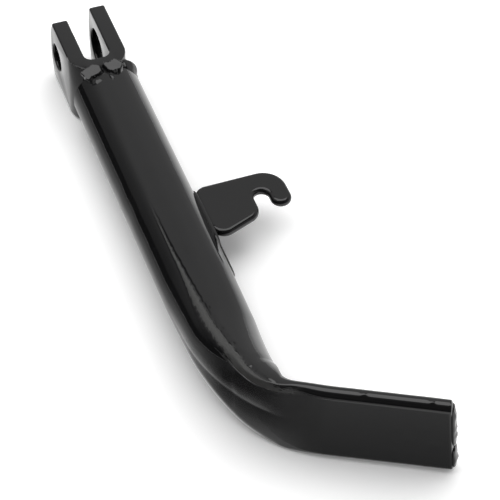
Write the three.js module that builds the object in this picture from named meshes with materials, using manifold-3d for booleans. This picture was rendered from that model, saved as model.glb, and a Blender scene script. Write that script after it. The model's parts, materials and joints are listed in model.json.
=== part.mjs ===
// Motorcycle side stand (kickstand): a welded steel leg, modelled lying on its side.
// Units are millimetres, +Z is up.
//
// The leg is drawn first in its own coordinates: the pivot axis is the X axis, the tube runs
// from the pivot along -Y, and the foot bends away towards +X. The finished leg is then tipped
// by the small angle at which it lies level on its yoke and its foot, and set on Z = 0.

import * as THREE from 'three';
import { mergeVertices } from 'three/addons/utils/BufferGeometryUtils.js';
import Module from 'manifold-3d';

const wasm = await Module();
wasm.setup();

// ---------------------------------------------------------------- driving dimensions

const JOINT_GAP = 0.3; // air left between two pieces that the welds join

// Round steel tube
const TUBE_RADIUS = 12.7;
const TUBE_WALL = 2.5;

// Yoke: one flat bar bent into a U, its two ears straddling the frame lug
const BAR_THICKNESS = 6;
const BAR_WIDTH = 26;
const FORK_GAP = 9.5;
const FORK_OFFSET = -0.95; // middle of the fork, left of the tube's axis
const FORK_BEND = 3; // inside radius of each bend
const SLOT_DEPTH = 18.3; // from the pivot axis to the bottom of the fork slot
const LEFT_EAR = { tip: 8.2, tipRadius: 26, hole: 5.1 };
const RIGHT_EAR = { tip: 10.5, tipRadius: 45, hole: 7.5 };

// Bend and flattened foot
const LEG_LENGTH = 178.1; // pivot axis to the corner where the straight runs would meet
const BEND_ANGLE = THREE.MathUtils.degToRad(62.3);
const SPINE_RADIUS = 16.5; // bend of the line that the sections are drawn across
const FOOT_LENGTH = 62.5; // from that corner to the middle of the foot's end
const FOOT_HEIGHT = 32.9;
const FOOT_THICKNESS = 5.4;
const FOOT_CUT_SLANT = 3.8; // the end is cut this much longer at its lower edge
// Pressing the tube flat draws each wall inwards, from a lead before the bend's corner. The outer
// wall turns in a broad sweep and the inner wall in a short crease.
const OUTER_WALL = { side: -1, lead: 51, drawn: 2.6, turn: 59.7 };
const INNER_WALL = { side: 1, lead: 34, drawn: 4.4, turn: 5 };
const GIRTH_HOLD = 5; // the higher it is, the later the section loses girth as it is pressed

// Spring hook plate, flat, on the side of the tube
const HOOK_PLATE = 3.2;
const HOOK_START = -80.6; // edge nearest to the pivot
const HOOK_REACH = 31.9; // from its root to the outer edge of the finger
const HOOK_LENGTH = 20.4; // along the tube, to the end of the lobe beside the notch
const HOOK_TAPER = 3; // extra length at the root
const HOOK_CORNER = { root: 4.2, outer: 8.5, foot: 5 };
const HOOK_LOBE = 5.5;
const NOTCH_WIDTH = 5.4;
const NOTCH_DEPTH = 8; // from the finger's tip to the end of the notch
const FINGER_WIDTH = 7.6;
const FINGER_SHORT = 3.6; // the finger ends this much before the lobe

// Welds. Toe and heel are measured along the leg from the tube's cut end.
const CROWN_BEAD = { toe: 5.2, heel: 3.6, rise: 0.8, fall: 1.6 };
const SHOULDER_BEAD = { toe: 1.8, heel: 7.6, rise: 0.6, fall: 1.4 };
const SHOULDER_HALF_ANGLE = 50; // degrees of the tube's round taken by each side bead
const BEAD_BREAK = 2.5; // degrees left between neighbouring beads
const HOOK_BEAD = { radius: 2.1, start: -85, end: -104.4 };
const END_BEAD = { proud: 1.3, split: -4.5, gap: 0.8 };

// Roundness of the faceted solids
const TUBE_SIDES = 32;
const HOLE_SIDES = 32;
const ARC_STEPS = 6;
const BEND_STEPS = 30; // sections from where the tube first narrows to where the foot is flat
const CUT_MARGIN = 1; // how far a cutting shape runs past what it cuts
const MERGE_DISTANCE = 1e-4;

const PAINT = { color: 0x060607, roughness: 0.12, metalness: 0 };
const BEAD_PAINT = { color: 0x080808, roughness: 0.2, metalness: 0 };

// ---------------------------------------------------------------- helpers

function closedMesh(geometry) {
  // Keep only positions, join equal corners and drop triangles that have collapsed.
  const bare = new THREE.BufferGeometry();
  bare.setAttribute('position', geometry.getAttribute('position').clone());
  if (geometry.index) bare.setIndex(geometry.index.clone());
  const merged = mergeVertices(bare, MERGE_DISTANCE);
  const index = merged.index.array;
  const kept = [];
  for (let i = 0; i < index.length; i += 3) {
    const [a, b, c] = [index[i], index[i + 1], index[i + 2]];
    if (a !== b && b !== c && c !== a) kept.push(a, b, c);
  }
  merged.setIndex(kept);
  return merged;
}

function solid(geometry, matrix) {
  const placed = closedMesh(geometry);
  if (matrix) placed.applyMatrix4(matrix);
  const vertProperties = Float32Array.from(placed.getAttribute('position').array);
  const triVerts = Uint32Array.from(placed.index.array);
  return new wasm.Manifold(new wasm.Mesh({ numProp: 3, vertProperties, triVerts }));
}

function toGeometry(manifold) {
  const mesh = manifold.getMesh();
  const geometry = new THREE.BufferGeometry();
  geometry.setAttribute('position', new THREE.BufferAttribute(mesh.vertProperties, 3));
  geometry.setIndex(new THREE.BufferAttribute(mesh.triVerts, 1));
  return geometry;
}

function piece(name, manifold, finish) {
  const mesh = new THREE.Mesh(toGeometry(manifold), new THREE.MeshStandardMaterial(finish));
  mesh.name = name;
  return mesh;
}

function move(x, y, z) {
  return new THREE.Matrix4().makeTranslation(x, y, z);
}

// Turns a shape drawn in (y, z) and pushed along its third axis so that it is pushed along X.
const ALONG_X = new THREE.Matrix4().set(0, 0, 1, 0, 1, 0, 0, 0, 0, 1, 0, 0, 0, 0, 0, 1);

function loft(rings) {
  // A closed skin through rings of equal length, with a flat cap on each end.
  const sides = rings[0].length;
  const points = rings.flat();
  const middle = (ring) =>
    ring.reduce((sum, p) => sum.add(p), new THREE.Vector3()).divideScalar(ring.length);
  const first = points.push(middle(rings[0])) - 1;
  const last = points.push(middle(rings[rings.length - 1])) - 1;
  const index = [];
  for (let i = 0; i < sides; i += 1) {
    const j = (i + 1) % sides;
    index.push(first, j, i);
    const top = (rings.length - 1) * sides;
    index.push(last, top + i, top + j);
    for (let k = 0; k < rings.length - 1; k += 1) {
      const a = k * sides;
      const b = a + sides;
      index.push(a + i, a + j, b + j, a + i, b + j, b + i);
    }
  }
  const geometry = new THREE.BufferGeometry().setFromPoints(points);
  geometry.setIndex(index);
  return geometry;
}

// ---------------------------------------------------------------- leg tube

const yokeBack = -(SLOT_DEPTH + BAR_THICKNESS);
const tubeEnd = yokeBack - JOINT_GAP;
const bendTangent = SPINE_RADIUS * Math.tan(BEND_ANGLE / 2);
const straightLength = LEG_LENGTH + tubeEnd - bendTangent;
const bendLength = SPINE_RADIUS * BEND_ANGLE;
const legTotal = straightLength + bendLength + FOOT_LENGTH - bendTangent;

const footDirection = new THREE.Vector2(Math.sin(BEND_ANGLE), -Math.cos(BEND_ANGLE));
const footSide = new THREE.Vector2(Math.cos(BEND_ANGLE), Math.sin(BEND_ANGLE));
const footCorner = new THREE.Vector2(0, -LEG_LENGTH);

function spineAt(s) {
  // Point on the spine, its direction and its inner side, s along from the tube's end.
  const turn = THREE.MathUtils.clamp((s - straightLength) / SPINE_RADIUS, 0, BEND_ANGLE);
  const ahead = new THREE.Vector2(Math.sin(turn), -Math.cos(turn));
  const side = new THREE.Vector2(Math.cos(turn), Math.sin(turn));
  const at = new THREE.Vector2(0, tubeEnd - Math.min(s, straightLength));
  at.x += SPINE_RADIUS * (1 - Math.cos(turn));
  at.y -= SPINE_RADIUS * Math.sin(turn);
  at.addScaledVector(ahead, Math.max(0, s - straightLength - bendLength));
  return { at, ahead, side };
}

function wallOutline({ side, lead, drawn, turn }) {
  // One wall of the leg seen from above, from the yoke to past the foot's end.
  const face = footCorner.dot(footSide) + (side * FOOT_THICKNESS) / 2;
  const drawnX = side * (TUBE_RADIUS - drawn);
  const corner = new THREE.Vector2(drawnX, (face - drawnX * footSide.x) / footSide.y);
  const narrowing = new THREE.Vector2(side * TUBE_RADIUS, footCorner.y + lead);
  const run = corner.clone().sub(narrowing).normalize();
  const sweep = Math.acos(THREE.MathUtils.clamp(run.dot(footDirection), -1, 1));
  const inward = new THREE.Vector2(-run.y, run.x);
  const tangent = turn * Math.tan(sweep / 2);
  const centre = corner.clone().addScaledVector(run, -tangent).addScaledVector(inward, turn);
  const from = Math.atan2(-inward.y, -inward.x);
  const path = new THREE.Path();
  path.moveTo(narrowing.x, 0);
  path.lineTo(narrowing.x, narrowing.y);
  path.absarc(centre.x, centre.y, turn, from, from + sweep, false);
  const beyond = corner.clone().addScaledVector(footDirection, 2 * FOOT_LENGTH);
  path.lineTo(beyond.x, beyond.y);
  const flatFrom = corner.sub(footCorner).dot(footDirection) + tangent;
  return { points: path.getPoints(2 * ARC_STEPS), flatFrom };
}

const outerWall = wallOutline(OUTER_WALL);
const innerWall = wallOutline(INNER_WALL);

function reachTo({ points }, from, direction) {
  // Distance from a point along a direction to where it meets an outline.
  let nearest = Infinity;
  for (let i = 0; i + 1 < points.length; i += 1) {
    const edge = points[i + 1].clone().sub(points[i]);
    const toEdge = points[i].clone().sub(from);
    const across = direction.cross(edge);
    const distance = toEdge.cross(edge) / across;
    const share = toEdge.cross(direction) / across;
    const meets = share >= 0 && share <= 1 && distance > -TUBE_RADIUS;
    if (meets && distance < nearest) nearest = distance;
  }
  return nearest;
}

function sectionAt(s) {
  // The pressed tube's section: two half circles joined by straight sides.
  const { at, ahead, side } = spineAt(s);
  const outer = reachTo(outerWall, at, side.clone().negate());
  const inner = reachTo(innerWall, at, side);
  const radius = (outer + inner) / 2;
  const range = TUBE_RADIUS - FOOT_THICKNESS / 2;
  const pressed = THREE.MathUtils.clamp((TUBE_RADIUS - radius) / range, 0, 1);
  const tubeGirth = 2 * Math.PI * TUBE_RADIUS;
  const footGirth = Math.PI * FOOT_THICKNESS + 2 * (FOOT_HEIGHT - FOOT_THICKNESS);
  const girth = THREE.MathUtils.lerp(tubeGirth, footGirth, pressed ** GIRTH_HOLD);
  const flat = Math.max(0, (girth - 2 * Math.PI * radius) / 4);
  const middle = at.clone().addScaledVector(side, (inner - outer) / 2);
  return { middle, ahead, side, radius, flat };
}

function ringAt(s, inset, grow) {
  const { middle, ahead, side, radius, flat } = sectionAt(s);
  const r = radius - inset + grow;
  const endCut = s === legTotal ? FOOT_CUT_SLANT / FOOT_HEIGHT : 0;
  const ring = [];
  for (let i = 0; i < TUBE_SIDES; i += 1) {
    const angle = (2 * Math.PI * (i + 0.5)) / TUBE_SIDES;
    const z = r * Math.sin(angle) + Math.sign(Math.sin(angle)) * flat;
    const p = middle.clone().addScaledVector(side, r * Math.cos(angle));
    p.addScaledVector(ahead, -z * endCut);
    ring.push(new THREE.Vector3(p.x, p.y, z));
  }
  return ring;
}

const narrowStart = LEG_LENGTH + tubeEnd - Math.max(OUTER_WALL.lead, INNER_WALL.lead);
const footStart = straightLength + bendLength - bendTangent;
const flatFrom = footStart + Math.max(outerWall.flatFrom, innerWall.flatFrom);

function legStations(end) {
  // Sections sit close together where the leg bends and flattens, and nowhere else.
  const stations = [0];
  const step = (flatFrom - narrowStart) / BEND_STEPS;
  for (let k = 0; k <= BEND_STEPS; k += 1) {
    const s = narrowStart + k * step;
    if (s < end - step / 2) stations.push(s);
  }
  stations.push(end);
  return stations;
}

function boreEnd() {
  // The bore stops where the flattened walls meet.
  const step = (flatFrom - narrowStart) / BEND_STEPS;
  let s = narrowStart;
  while (s < flatFrom && sectionAt(s + step).radius > TUBE_WALL + JOINT_GAP) s += step;
  return s;
}

function legOutside(grow = 0) {
  return solid(loft(legStations(legTotal).map((s) => ringAt(s, 0, grow))));
}

function legTube() {
  const rings = legStations(boreEnd()).map((s) => ringAt(s, TUBE_WALL, 0));
  rings[0] = rings[0].map((p) => p.clone().setY(p.y + CUT_MARGIN));
  return legOutside().subtract(solid(loft(rings)));
}

// ---------------------------------------------------------------- yoke

function forkOutline(grow) {
  // The bent bar seen from above: ears along Y, back of the bend towards the tube.
  const inner = FORK_GAP / 2 - grow;
  const outer = FORK_GAP / 2 + BAR_THICKNESS + grow;
  const innerBend = Math.max(FORK_BEND - grow, JOINT_GAP);
  const outerBend = FORK_BEND + BAR_THICKNESS + grow;
  const slotEnd = -SLOT_DEPTH + grow;
  const back = yokeBack - grow;
  const front = Math.max(LEFT_EAR.tip, RIGHT_EAR.tip) + 2 * CUT_MARGIN;
  const shape = new THREE.Shape();
  shape.moveTo(-outer, front);
  shape.lineTo(-outer, back + outerBend);
  shape.absarc(-outer + outerBend, back + outerBend, outerBend, Math.PI, 1.5 * Math.PI, false);
  shape.lineTo(outer - outerBend, back);
  shape.absarc(outer - outerBend, back + outerBend, outerBend, 1.5 * Math.PI, 2 * Math.PI, false);
  shape.lineTo(outer, front);
  shape.lineTo(inner, front);
  shape.lineTo(inner, slotEnd + innerBend);
  shape.absarc(inner - innerBend, slotEnd + innerBend, innerBend, 0, -Math.PI / 2, true);
  shape.lineTo(-inner + innerBend, slotEnd);
  shape.absarc(-inner + innerBend, slotEnd + innerBend, innerBend, -Math.PI / 2, -Math.PI, true);
  shape.lineTo(-inner, front);
  shape.closePath();
  return shape;
}

function earSide(ear, fromX, toX, grow) {
  // An ear seen from the side: straight edges and a gently rounded tip.
  const half = BAR_WIDTH / 2 + grow;
  const radius = ear.tipRadius + grow;
  const centre = ear.tip - ear.tipRadius;
  const sweep = Math.asin(half / radius);
  const shape = new THREE.Shape();
  const behind = yokeBack - grow - CUT_MARGIN;
  shape.moveTo(behind, half);
  shape.lineTo(behind, -half);
  shape.lineTo(centre + radius * Math.cos(sweep), -half);
  shape.absarc(centre, 0, radius, -sweep, sweep, false);
  shape.closePath();
  const settings = { depth: toX - fromX, bevelEnabled: false, curveSegments: 2 * ARC_STEPS };
  return solid(new THREE.ExtrudeGeometry(shape, settings), move(fromX, 0, 0).multiply(ALONG_X));
}

function pivotHole(ear, fromX, toX) {
  const hole = new THREE.CylinderGeometry(ear.hole, ear.hole, toX - fromX, HOLE_SIDES);
  hole.rotateZ(Math.PI / 2);
  return solid(hole, move((fromX + toX) / 2, 0, 0));
}

function yokeBar(grow = 0) {
  const height = BAR_WIDTH + 2 * grow;
  const settings = { depth: height, bevelEnabled: false, curveSegments: ARC_STEPS };
  const outline = new THREE.ExtrudeGeometry(forkOutline(grow), settings);
  const bar = solid(outline, move(FORK_OFFSET, 0, -height / 2));
  const reach = FORK_GAP / 2 + BAR_THICKNESS + grow + CUT_MARGIN;
  const left = earSide(LEFT_EAR, FORK_OFFSET - reach, FORK_OFFSET, grow);
  const right = earSide(RIGHT_EAR, FORK_OFFSET, FORK_OFFSET + reach, grow);
  return bar.intersect(left.add(right));
}

function yoke() {
  const reach = FORK_GAP / 2 + BAR_THICKNESS + CUT_MARGIN;
  const leftHole = pivotHole(LEFT_EAR, FORK_OFFSET - reach, FORK_OFFSET);
  const rightHole = pivotHole(RIGHT_EAR, FORK_OFFSET, FORK_OFFSET + reach);
  return yokeBar().subtract(leftHole.add(rightHole));
}

// ---------------------------------------------------------------- spring hook plate

const hookRoot = TUBE_RADIUS + JOINT_GAP;

function hookOutline(grow) {
  // Seen from above: a plate with a notch open towards the foot and a finger beside it.
  const root = hookRoot - grow;
  const start = HOOK_START + grow;
  const edge = hookRoot + HOOK_REACH + grow;
  const lobeEnd = HOOK_START - HOOK_LENGTH - grow;
  const fingerEnd = HOOK_START - HOOK_LENGTH + FINGER_SHORT - grow;
  const fingerRadius = FINGER_WIDTH / 2 + grow;
  const notchRadius = NOTCH_WIDTH / 2 - grow;
  const notchRight = edge - 2 * fingerRadius;
  const notchLeft = notchRight - 2 * notchRadius;
  const notchEnd = fingerEnd + NOTCH_DEPTH;
  const corner = HOOK_CORNER;
  const lobeX = notchLeft - HOOK_LOBE;
  const lobeY = lobeEnd + HOOK_LOBE;
  const footX = root + corner.foot;
  const footY = lobeEnd - HOOK_TAPER + corner.foot;
  const tilt = Math.atan2(lobeY - footY, lobeX - footX) - Math.PI / 2; // outward from the lower edge
  const shape = new THREE.Shape();
  shape.moveTo(root, start - corner.root);
  shape.absarc(root + corner.root, start - corner.root, corner.root, Math.PI, Math.PI / 2, true);
  shape.lineTo(edge - corner.outer, start);
  shape.absarc(edge - corner.outer, start - corner.outer, corner.outer, Math.PI / 2, 0, true);
  shape.lineTo(edge, fingerEnd + fingerRadius);
  shape.absarc(edge - fingerRadius, fingerEnd + fingerRadius, fingerRadius, 0, -Math.PI, true);
  shape.lineTo(notchRight, notchEnd - notchRadius);
  shape.absarc(notchRight - notchRadius, notchEnd - notchRadius, notchRadius, 0, Math.PI, false);
  shape.lineTo(notchLeft, lobeY);
  shape.absarc(lobeX, lobeY, HOOK_LOBE, 0, tilt, true);
  shape.absarc(footX, footY, corner.foot, tilt, -Math.PI, true);
  shape.closePath();
  return shape;
}

function hookPlate(grow = 0) {
  const depth = HOOK_PLATE + 2 * grow;
  const settings = { depth, bevelEnabled: false, curveSegments: ARC_STEPS };
  return solid(new THREE.ExtrudeGeometry(hookOutline(grow), settings), move(0, 0, -depth / 2));
}

// ---------------------------------------------------------------- welds

function beadRing(bead, fromDegrees, toDegrees) {
  // Part of a low, rounded band around the joint between the yoke and the tube.
  const crown = TUBE_RADIUS + bead.rise;
  const low = TUBE_RADIUS - TUBE_WALL;
  const toe = tubeEnd - bead.toe;
  const heel = tubeEnd + bead.heel;
  const profile = [
    [TUBE_RADIUS + JOINT_GAP, toe],
    [crown, toe + bead.fall],
    [crown, heel - bead.fall],
    [TUBE_RADIUS, heel],
    [low, heel],
    [low, toe + bead.fall],
  ];
  const start = THREE.MathUtils.degToRad(fromDegrees + BEAD_BREAK / 2);
  const sweep = THREE.MathUtils.degToRad(toDegrees - fromDegrees - BEAD_BREAK);
  const steps = Math.ceil((sweep * TUBE_SIDES) / (2 * Math.PI));
  const rings = [];
  for (let k = 0; k <= steps; k += 1) {
    const angle = start + (sweep * k) / steps;
    rings.push(profile.map(([r, y]) =>
      new THREE.Vector3(r * Math.cos(angle), y, r * Math.sin(angle))));
  }
  return solid(loft(rings));
}

const clearOfYoke = yokeBar(JOINT_GAP);
const clearOfLeg = legOutside(JOINT_GAP);
const clearOfHook = hookPlate(JOINT_GAP);

function yokeWeld(name, bead, middle, half) {
  const band = beadRing(bead, middle - half, middle + half);
  const roomRadius = TUBE_RADIUS + JOINT_GAP;
  const roomLength = bead.toe + JOINT_GAP + CUT_MARGIN;
  const core = new THREE.CylinderGeometry(roomRadius, roomRadius, roomLength, TUBE_SIDES);
  const tubeRoom = solid(core, move(0, tubeEnd + JOINT_GAP - roomLength / 2, 0));
  return piece(name, band.subtract(tubeRoom).subtract(clearOfYoke), BEAD_PAINT);
}

function yokeWelds() {
  const crownHalf = 90 - SHOULDER_HALF_ANGLE;
  return [
    yokeWeld('yoke_weld_right', SHOULDER_BEAD, 0, SHOULDER_HALF_ANGLE),
    yokeWeld('yoke_weld_top', CROWN_BEAD, 90, crownHalf),
    yokeWeld('yoke_weld_left', SHOULDER_BEAD, 180, SHOULDER_HALF_ANGLE),
    yokeWeld('yoke_weld_bottom', CROWN_BEAD, 270, crownHalf),
  ];
}

function hookWeld(name, face) {
  // A fillet in the corner between the tube and one face of the plate.
  const { radius, start, end } = HOOK_BEAD;
  const bead = new THREE.CapsuleGeometry(radius, start - end - 2 * radius, 3, 12);
  const lift = face * (HOOK_PLATE / 2 + radius / 2);
  const run = solid(bead, move(hookRoot, (start + end) / 2, lift));
  return piece(name, run.subtract(clearOfLeg).subtract(clearOfHook), BEAD_PAINT);
}

function footRoom() {
  // The space taken by the foot, with its slanted end set forward by the joint gap.
  const tall = FOOT_HEIGHT / 2 + CUT_MARGIN;
  const rings = [0, FOOT_LENGTH + JOINT_GAP].map((along) => {
    const slant = along > 0 ? FOOT_CUT_SLANT / FOOT_HEIGHT : 0;
    return [[1, tall], [-1, tall], [-1, -tall], [1, -tall]].map(([n, z]) => {
      const p = footCorner.clone().addScaledVector(footDirection, along - z * slant);
      p.addScaledVector(footSide, n * FOOT_THICKNESS);
      return new THREE.Vector3(p.x, p.y, z);
    });
  });
  return solid(loft(rings));
}

function footEndWeld(name, lowZ, highZ) {
  // A lump along the squashed end, held just off the cut face.
  const lump = new THREE.SphereGeometry(1, 14, 8);
  lump.scale(END_BEAD.proud, FOOT_THICKNESS / 2, (highZ - lowZ) / 2);
  lump.rotateZ(BEND_ANGLE - Math.PI / 2);
  const middle = (highZ + lowZ) / 2;
  const along = FOOT_LENGTH - (middle * FOOT_CUT_SLANT) / FOOT_HEIGHT;
  const at = footCorner.clone().addScaledVector(footDirection, along);
  const blob = solid(lump, move(at.x, at.y, middle));
  return piece(name, blob.subtract(footRoom()), BEAD_PAINT);
}

function footEndWelds() {
  const edge = FOOT_HEIGHT / 2 - FOOT_THICKNESS / 4;
  return [
    footEndWeld('foot_end_weld_upper', END_BEAD.split + END_BEAD.gap / 2, edge),
    footEndWeld('foot_end_weld_lower', -edge, END_BEAD.split - END_BEAD.gap / 2),
  ];
}

// ---------------------------------------------------------------- assembly

const leg = new THREE.Group();
leg.add(piece('leg_tube', legTube(), PAINT));
leg.add(piece('yoke', yoke(), PAINT));
leg.add(piece('spring_hook_plate', hookPlate(), PAINT));
leg.add(...yokeWelds());
leg.add(hookWeld('hook_weld_upper', 1), hookWeld('hook_weld_lower', -1));
leg.add(...footEndWelds());

// Lying on its side, the leg rests on the lower edge of the foot and the lower corners of
// the ears, so it is tipped until both are at one height.
const restSpan = LEG_LENGTH + RIGHT_EAR.tip;
const lieAngle = Math.atan2((FOOT_HEIGHT - BAR_WIDTH) / 2, restSpan);
leg.rotation.x = -lieAngle;

const stand = new THREE.Group();
stand.add(leg);
stand.updateMatrixWorld(true);
const box = new THREE.Box3().setFromObject(stand, true);
const centre = box.getCenter(new THREE.Vector3());
leg.position.set(-centre.x, -centre.y, -box.min.z);
stand.updateMatrixWorld(true);

export default stand;
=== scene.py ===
"""Motorcycle side stand: a bent and pressed steel tube, its yoke, its spring hook and their welds.

Every piece is dressed in thick gloss black enamel. Shapes are built in millimetres, in the leg's
own axes: the pivot axis is X through the origin, the tube runs along -Y, the foot bends away
towards +X and Z is up. leg_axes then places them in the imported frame, in metres.
"""
import json
import logging
import math
from collections.abc import Callable, Sequence
from dataclasses import dataclass, field
from enum import Enum

import bmesh
import bpy
import numpy as np
from mathutils import Matrix, Vector


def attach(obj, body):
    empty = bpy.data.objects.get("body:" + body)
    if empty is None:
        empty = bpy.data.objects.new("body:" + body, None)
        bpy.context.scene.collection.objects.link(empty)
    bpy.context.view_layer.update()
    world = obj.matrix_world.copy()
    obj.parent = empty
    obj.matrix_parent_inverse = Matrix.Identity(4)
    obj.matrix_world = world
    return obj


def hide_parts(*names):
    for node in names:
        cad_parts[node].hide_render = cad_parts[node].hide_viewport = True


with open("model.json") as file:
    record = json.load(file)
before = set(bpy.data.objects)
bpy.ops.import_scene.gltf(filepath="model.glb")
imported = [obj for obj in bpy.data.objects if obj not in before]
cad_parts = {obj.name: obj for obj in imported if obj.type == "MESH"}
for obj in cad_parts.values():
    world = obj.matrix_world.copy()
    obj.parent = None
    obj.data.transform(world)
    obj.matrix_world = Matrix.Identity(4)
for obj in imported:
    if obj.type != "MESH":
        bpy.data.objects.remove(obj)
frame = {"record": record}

MM = 0.001
BODY = "root"
PERIOD_SPREAD = (0.7, 1.5)  # how far a ripple's waves differ in length
HARD_EDGE_DEG = 35.0  # edges sharper than this are rounded
FLAT_EDGE_DEG = 0.5  # edges flatter than this are dissolved
HAIR = 1e-9  # slack where straight runs meet
ARC_SLACK = 1e-6  # slack at the ends of an arc
log = logging.getLogger("side_stand")


class Slot(Enum):
    """The record's material slots."""

    PAINT = "gloss_black_paint"
    WELD = "painted_weld"


# ------------------------------------------------------------------ axes and small helpers


def leg_axes(record: dict) -> Matrix:
    """Works out where the leg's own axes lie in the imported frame.

    The foot's ground face gives the small angle at which the stand lies on its side, and the
    left ear's outer face gives the place.

    Args:
        record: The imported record, with its mounts.

    Returns:
        The matrix from millimetres on the leg to metres in the frame.
    """
    mounts = {mount["name"]: mount for mount in record["mounts"]}
    ground = Vector(mounts["foot_ground_face"]["axis"])
    tip = Matrix.Rotation(-math.atan2(ground.z, -ground.y), 4, "X")
    ear_point = Vector((Yoke.offset - Yoke.gap / 2 - Yoke.thickness, EAR_MOUNT_BACK, 0))
    origin = Vector(mounts["left_ear_outer_face"]["pos_m"]) / MM - tip @ ear_point
    return Matrix.Scale(MM, 4) @ Matrix.Translation(origin) @ tip


def smoothstep(low: float, high: float, value: float | np.ndarray) -> np.ndarray:
    """Returns 0 below low, 1 above high and a smooth rise between them."""
    share = np.clip((value - low) / (high - low), 0, 1)
    return share * share * (3 - 2 * share)


def soft_max(a: np.ndarray, b: np.ndarray, blend: float) -> np.ndarray:
    """Joins two heights with a small fillet.

    Args:
        a: First heights.
        b: Second heights.
        blend: Size of the fillet, in the same unit.

    Returns:
        The larger height at each place, rounded where the two meet.
    """
    mix = np.clip(0.5 + 0.5 * (a - b) / blend, 0, 1)
    return b + (a - b) * mix + blend * mix * (1 - mix)


@dataclass(frozen=True)
class Window:
    """A stretch that fades in and fades out again."""

    rise_from: float
    rise_to: float
    fall_from: float
    fall_to: float

    def over(self, value: float | np.ndarray) -> np.ndarray:
        """Returns 1 inside the stretch, 0 outside it and a smooth change between them."""
        rise = smoothstep(self.rise_from, self.rise_to, value)
        return rise * (1 - smoothstep(self.fall_from, self.fall_to, value))


@dataclass(frozen=True)
class Ramp:
    """A value that changes smoothly over one stretch and stays the same outside it."""

    start: float
    change: float
    begins: float
    ends: float

    def over(self, value: float | np.ndarray) -> np.ndarray:
        """Returns the ramp's value at each place."""
        return self.start + self.change * smoothstep(self.begins, self.ends, value)


@dataclass(frozen=True)
class Ripple:
    """Seeded smooth noise over a surface, made of plane waves."""

    height: float
    period: float
    seed: int
    waves: int = 14

    def over(self, u: np.ndarray, v: np.ndarray) -> np.ndarray:
        """Works out the noise.

        Args:
            u: First surface coordinate, in millimetres.
            v: Second surface coordinate, in millimetres.

        Returns:
            Values of about -height to height.
        """
        draw = np.random.default_rng(self.seed)
        total = np.zeros(np.broadcast(u, v).shape)
        for _ in range(self.waves):
            heading = draw.uniform(0, 2 * math.pi)
            wave = 2 * math.pi / (self.period * draw.uniform(*PERIOD_SPREAD))
            phase = draw.uniform(0, 2 * math.pi)
            total += np.sin(wave * (u * math.cos(heading) + v * math.sin(heading)) + phase)
        return self.height * (total / math.sqrt(2 * self.waves))


def strip_faces(rows: int, columns: int, first: int = 0, closed: bool = True) -> list[tuple]:
    """Quads of a grid of points.

    Args:
        rows: Number of rows of points.
        columns: Points in each row.
        first: Index of the grid's first point.
        closed: True if each row is a ring.

    Returns:
        Four point indices for each face.
    """
    faces = []
    for row in range(rows - 1):
        for column in range(columns if closed else columns - 1):
            after = (column + 1) % columns
            low = first + row * columns
            high = low + columns
            faces.append((low + column, low + after, high + after, high + column))
    return faces


def mesh_object(name: str, points: Sequence, faces: Sequence) -> bpy.types.Object:
    """Adds an object with a new mesh to the scene.

    Args:
        name: Name of the object and its mesh.
        points: Its corner points.
        faces: Corner indices of each face.

    Returns:
        The new object.
    """
    mesh = bpy.data.meshes.new(name)
    mesh.from_pydata(np.asarray(points, float).tolist(), [], list(faces))
    obj = bpy.data.objects.new(name, mesh)
    bpy.context.scene.collection.objects.link(obj)
    return obj


@dataclass
class Bench:
    """Makes finished pieces: it places, smooths and dresses a mesh, ties it to the body and hides
    the CAD node that it stands for.
    """

    axes: Matrix
    sharp_deg: float = 38.0

    def piece(self, name: str, points: np.ndarray, faces: list, node: str,
              finish: bpy.types.Material) -> bpy.types.Object:
        """Turns points and faces into a finished piece.

        Args:
            name: Name of the new piece.
            points: Corner points in millimetres on the leg.
            faces: Corner indices of each face.
            node: The CAD node that the piece stands for.
            finish: Its material.

        Returns:
            The new object.
        """
        return self.register(mesh_object(name, points, faces), node, finish)

    def register(self, obj: bpy.types.Object, node: str,
                 finish: bpy.types.Material) -> bpy.types.Object:
        """Places, smooths and dresses an object whose mesh is in millimetres on the leg.

        Args:
            obj: The object.
            node: The CAD node that it stands for.
            finish: Its material.

        Returns:
            The same object.
        """
        mesh = obj.data
        mesh.transform(self.axes)
        faces_out(mesh)
        mesh.shade_smooth()
        mesh.set_sharp_from_angle(angle=math.radians(self.sharp_deg))
        mesh.materials.clear()
        mesh.materials.append(finish)
        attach(obj, BODY)
        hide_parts(node)
        log.info("%s: %d faces, stands for %s", obj.name, len(mesh.polygons), node)
        return obj


def faces_out(mesh: bpy.types.Mesh) -> None:
    """Turns every face of a closed mesh outwards.

    Args:
        mesh: The mesh, which is changed in place.
    """
    work = bmesh.new()
    work.from_mesh(mesh)
    bmesh.ops.recalc_face_normals(work, faces=work.faces)
    work.to_mesh(mesh)
    work.free()


# ------------------------------------------------------------------ finishes


def linear(colour: str) -> tuple[float, float, float, float]:
    """Turns an sRGB hex colour into Blender's linear RGBA.

    Args:
        colour: Six hex digits after a number sign.

    Returns:
        Red, green, blue and an alpha of 1.
    """
    parts = [int(colour[i:i + 2], 16) / 255 for i in (1, 3, 5)]
    curve = [c / 12.92 if c <= 0.04045 else ((c + 0.055) / 1.055) ** 2.4 for c in parts]
    return (*curve, 1.0)


def add_node(tree: bpy.types.NodeTree, kind: str, settings: dict | None = None,
             links: dict | None = None) -> bpy.types.Node:
    """Adds one node to a tree.

    Args:
        tree: The node tree.
        kind: The node's type name, without the ShaderNode prefix.
        settings: Values by input name or number, or by attribute name with a leading dot.
        links: Output sockets by input name or number.

    Returns:
        The new node.
    """
    node = tree.nodes.new("ShaderNode" + kind)
    for name, value in (settings or {}).items():
        if str(name).startswith("."):
            setattr(node, name[1:], value)
        else:
            node.inputs[name].default_value = value
    for name, socket in (links or {}).items():
        tree.links.new(socket, node.inputs[name])
    return node


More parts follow.
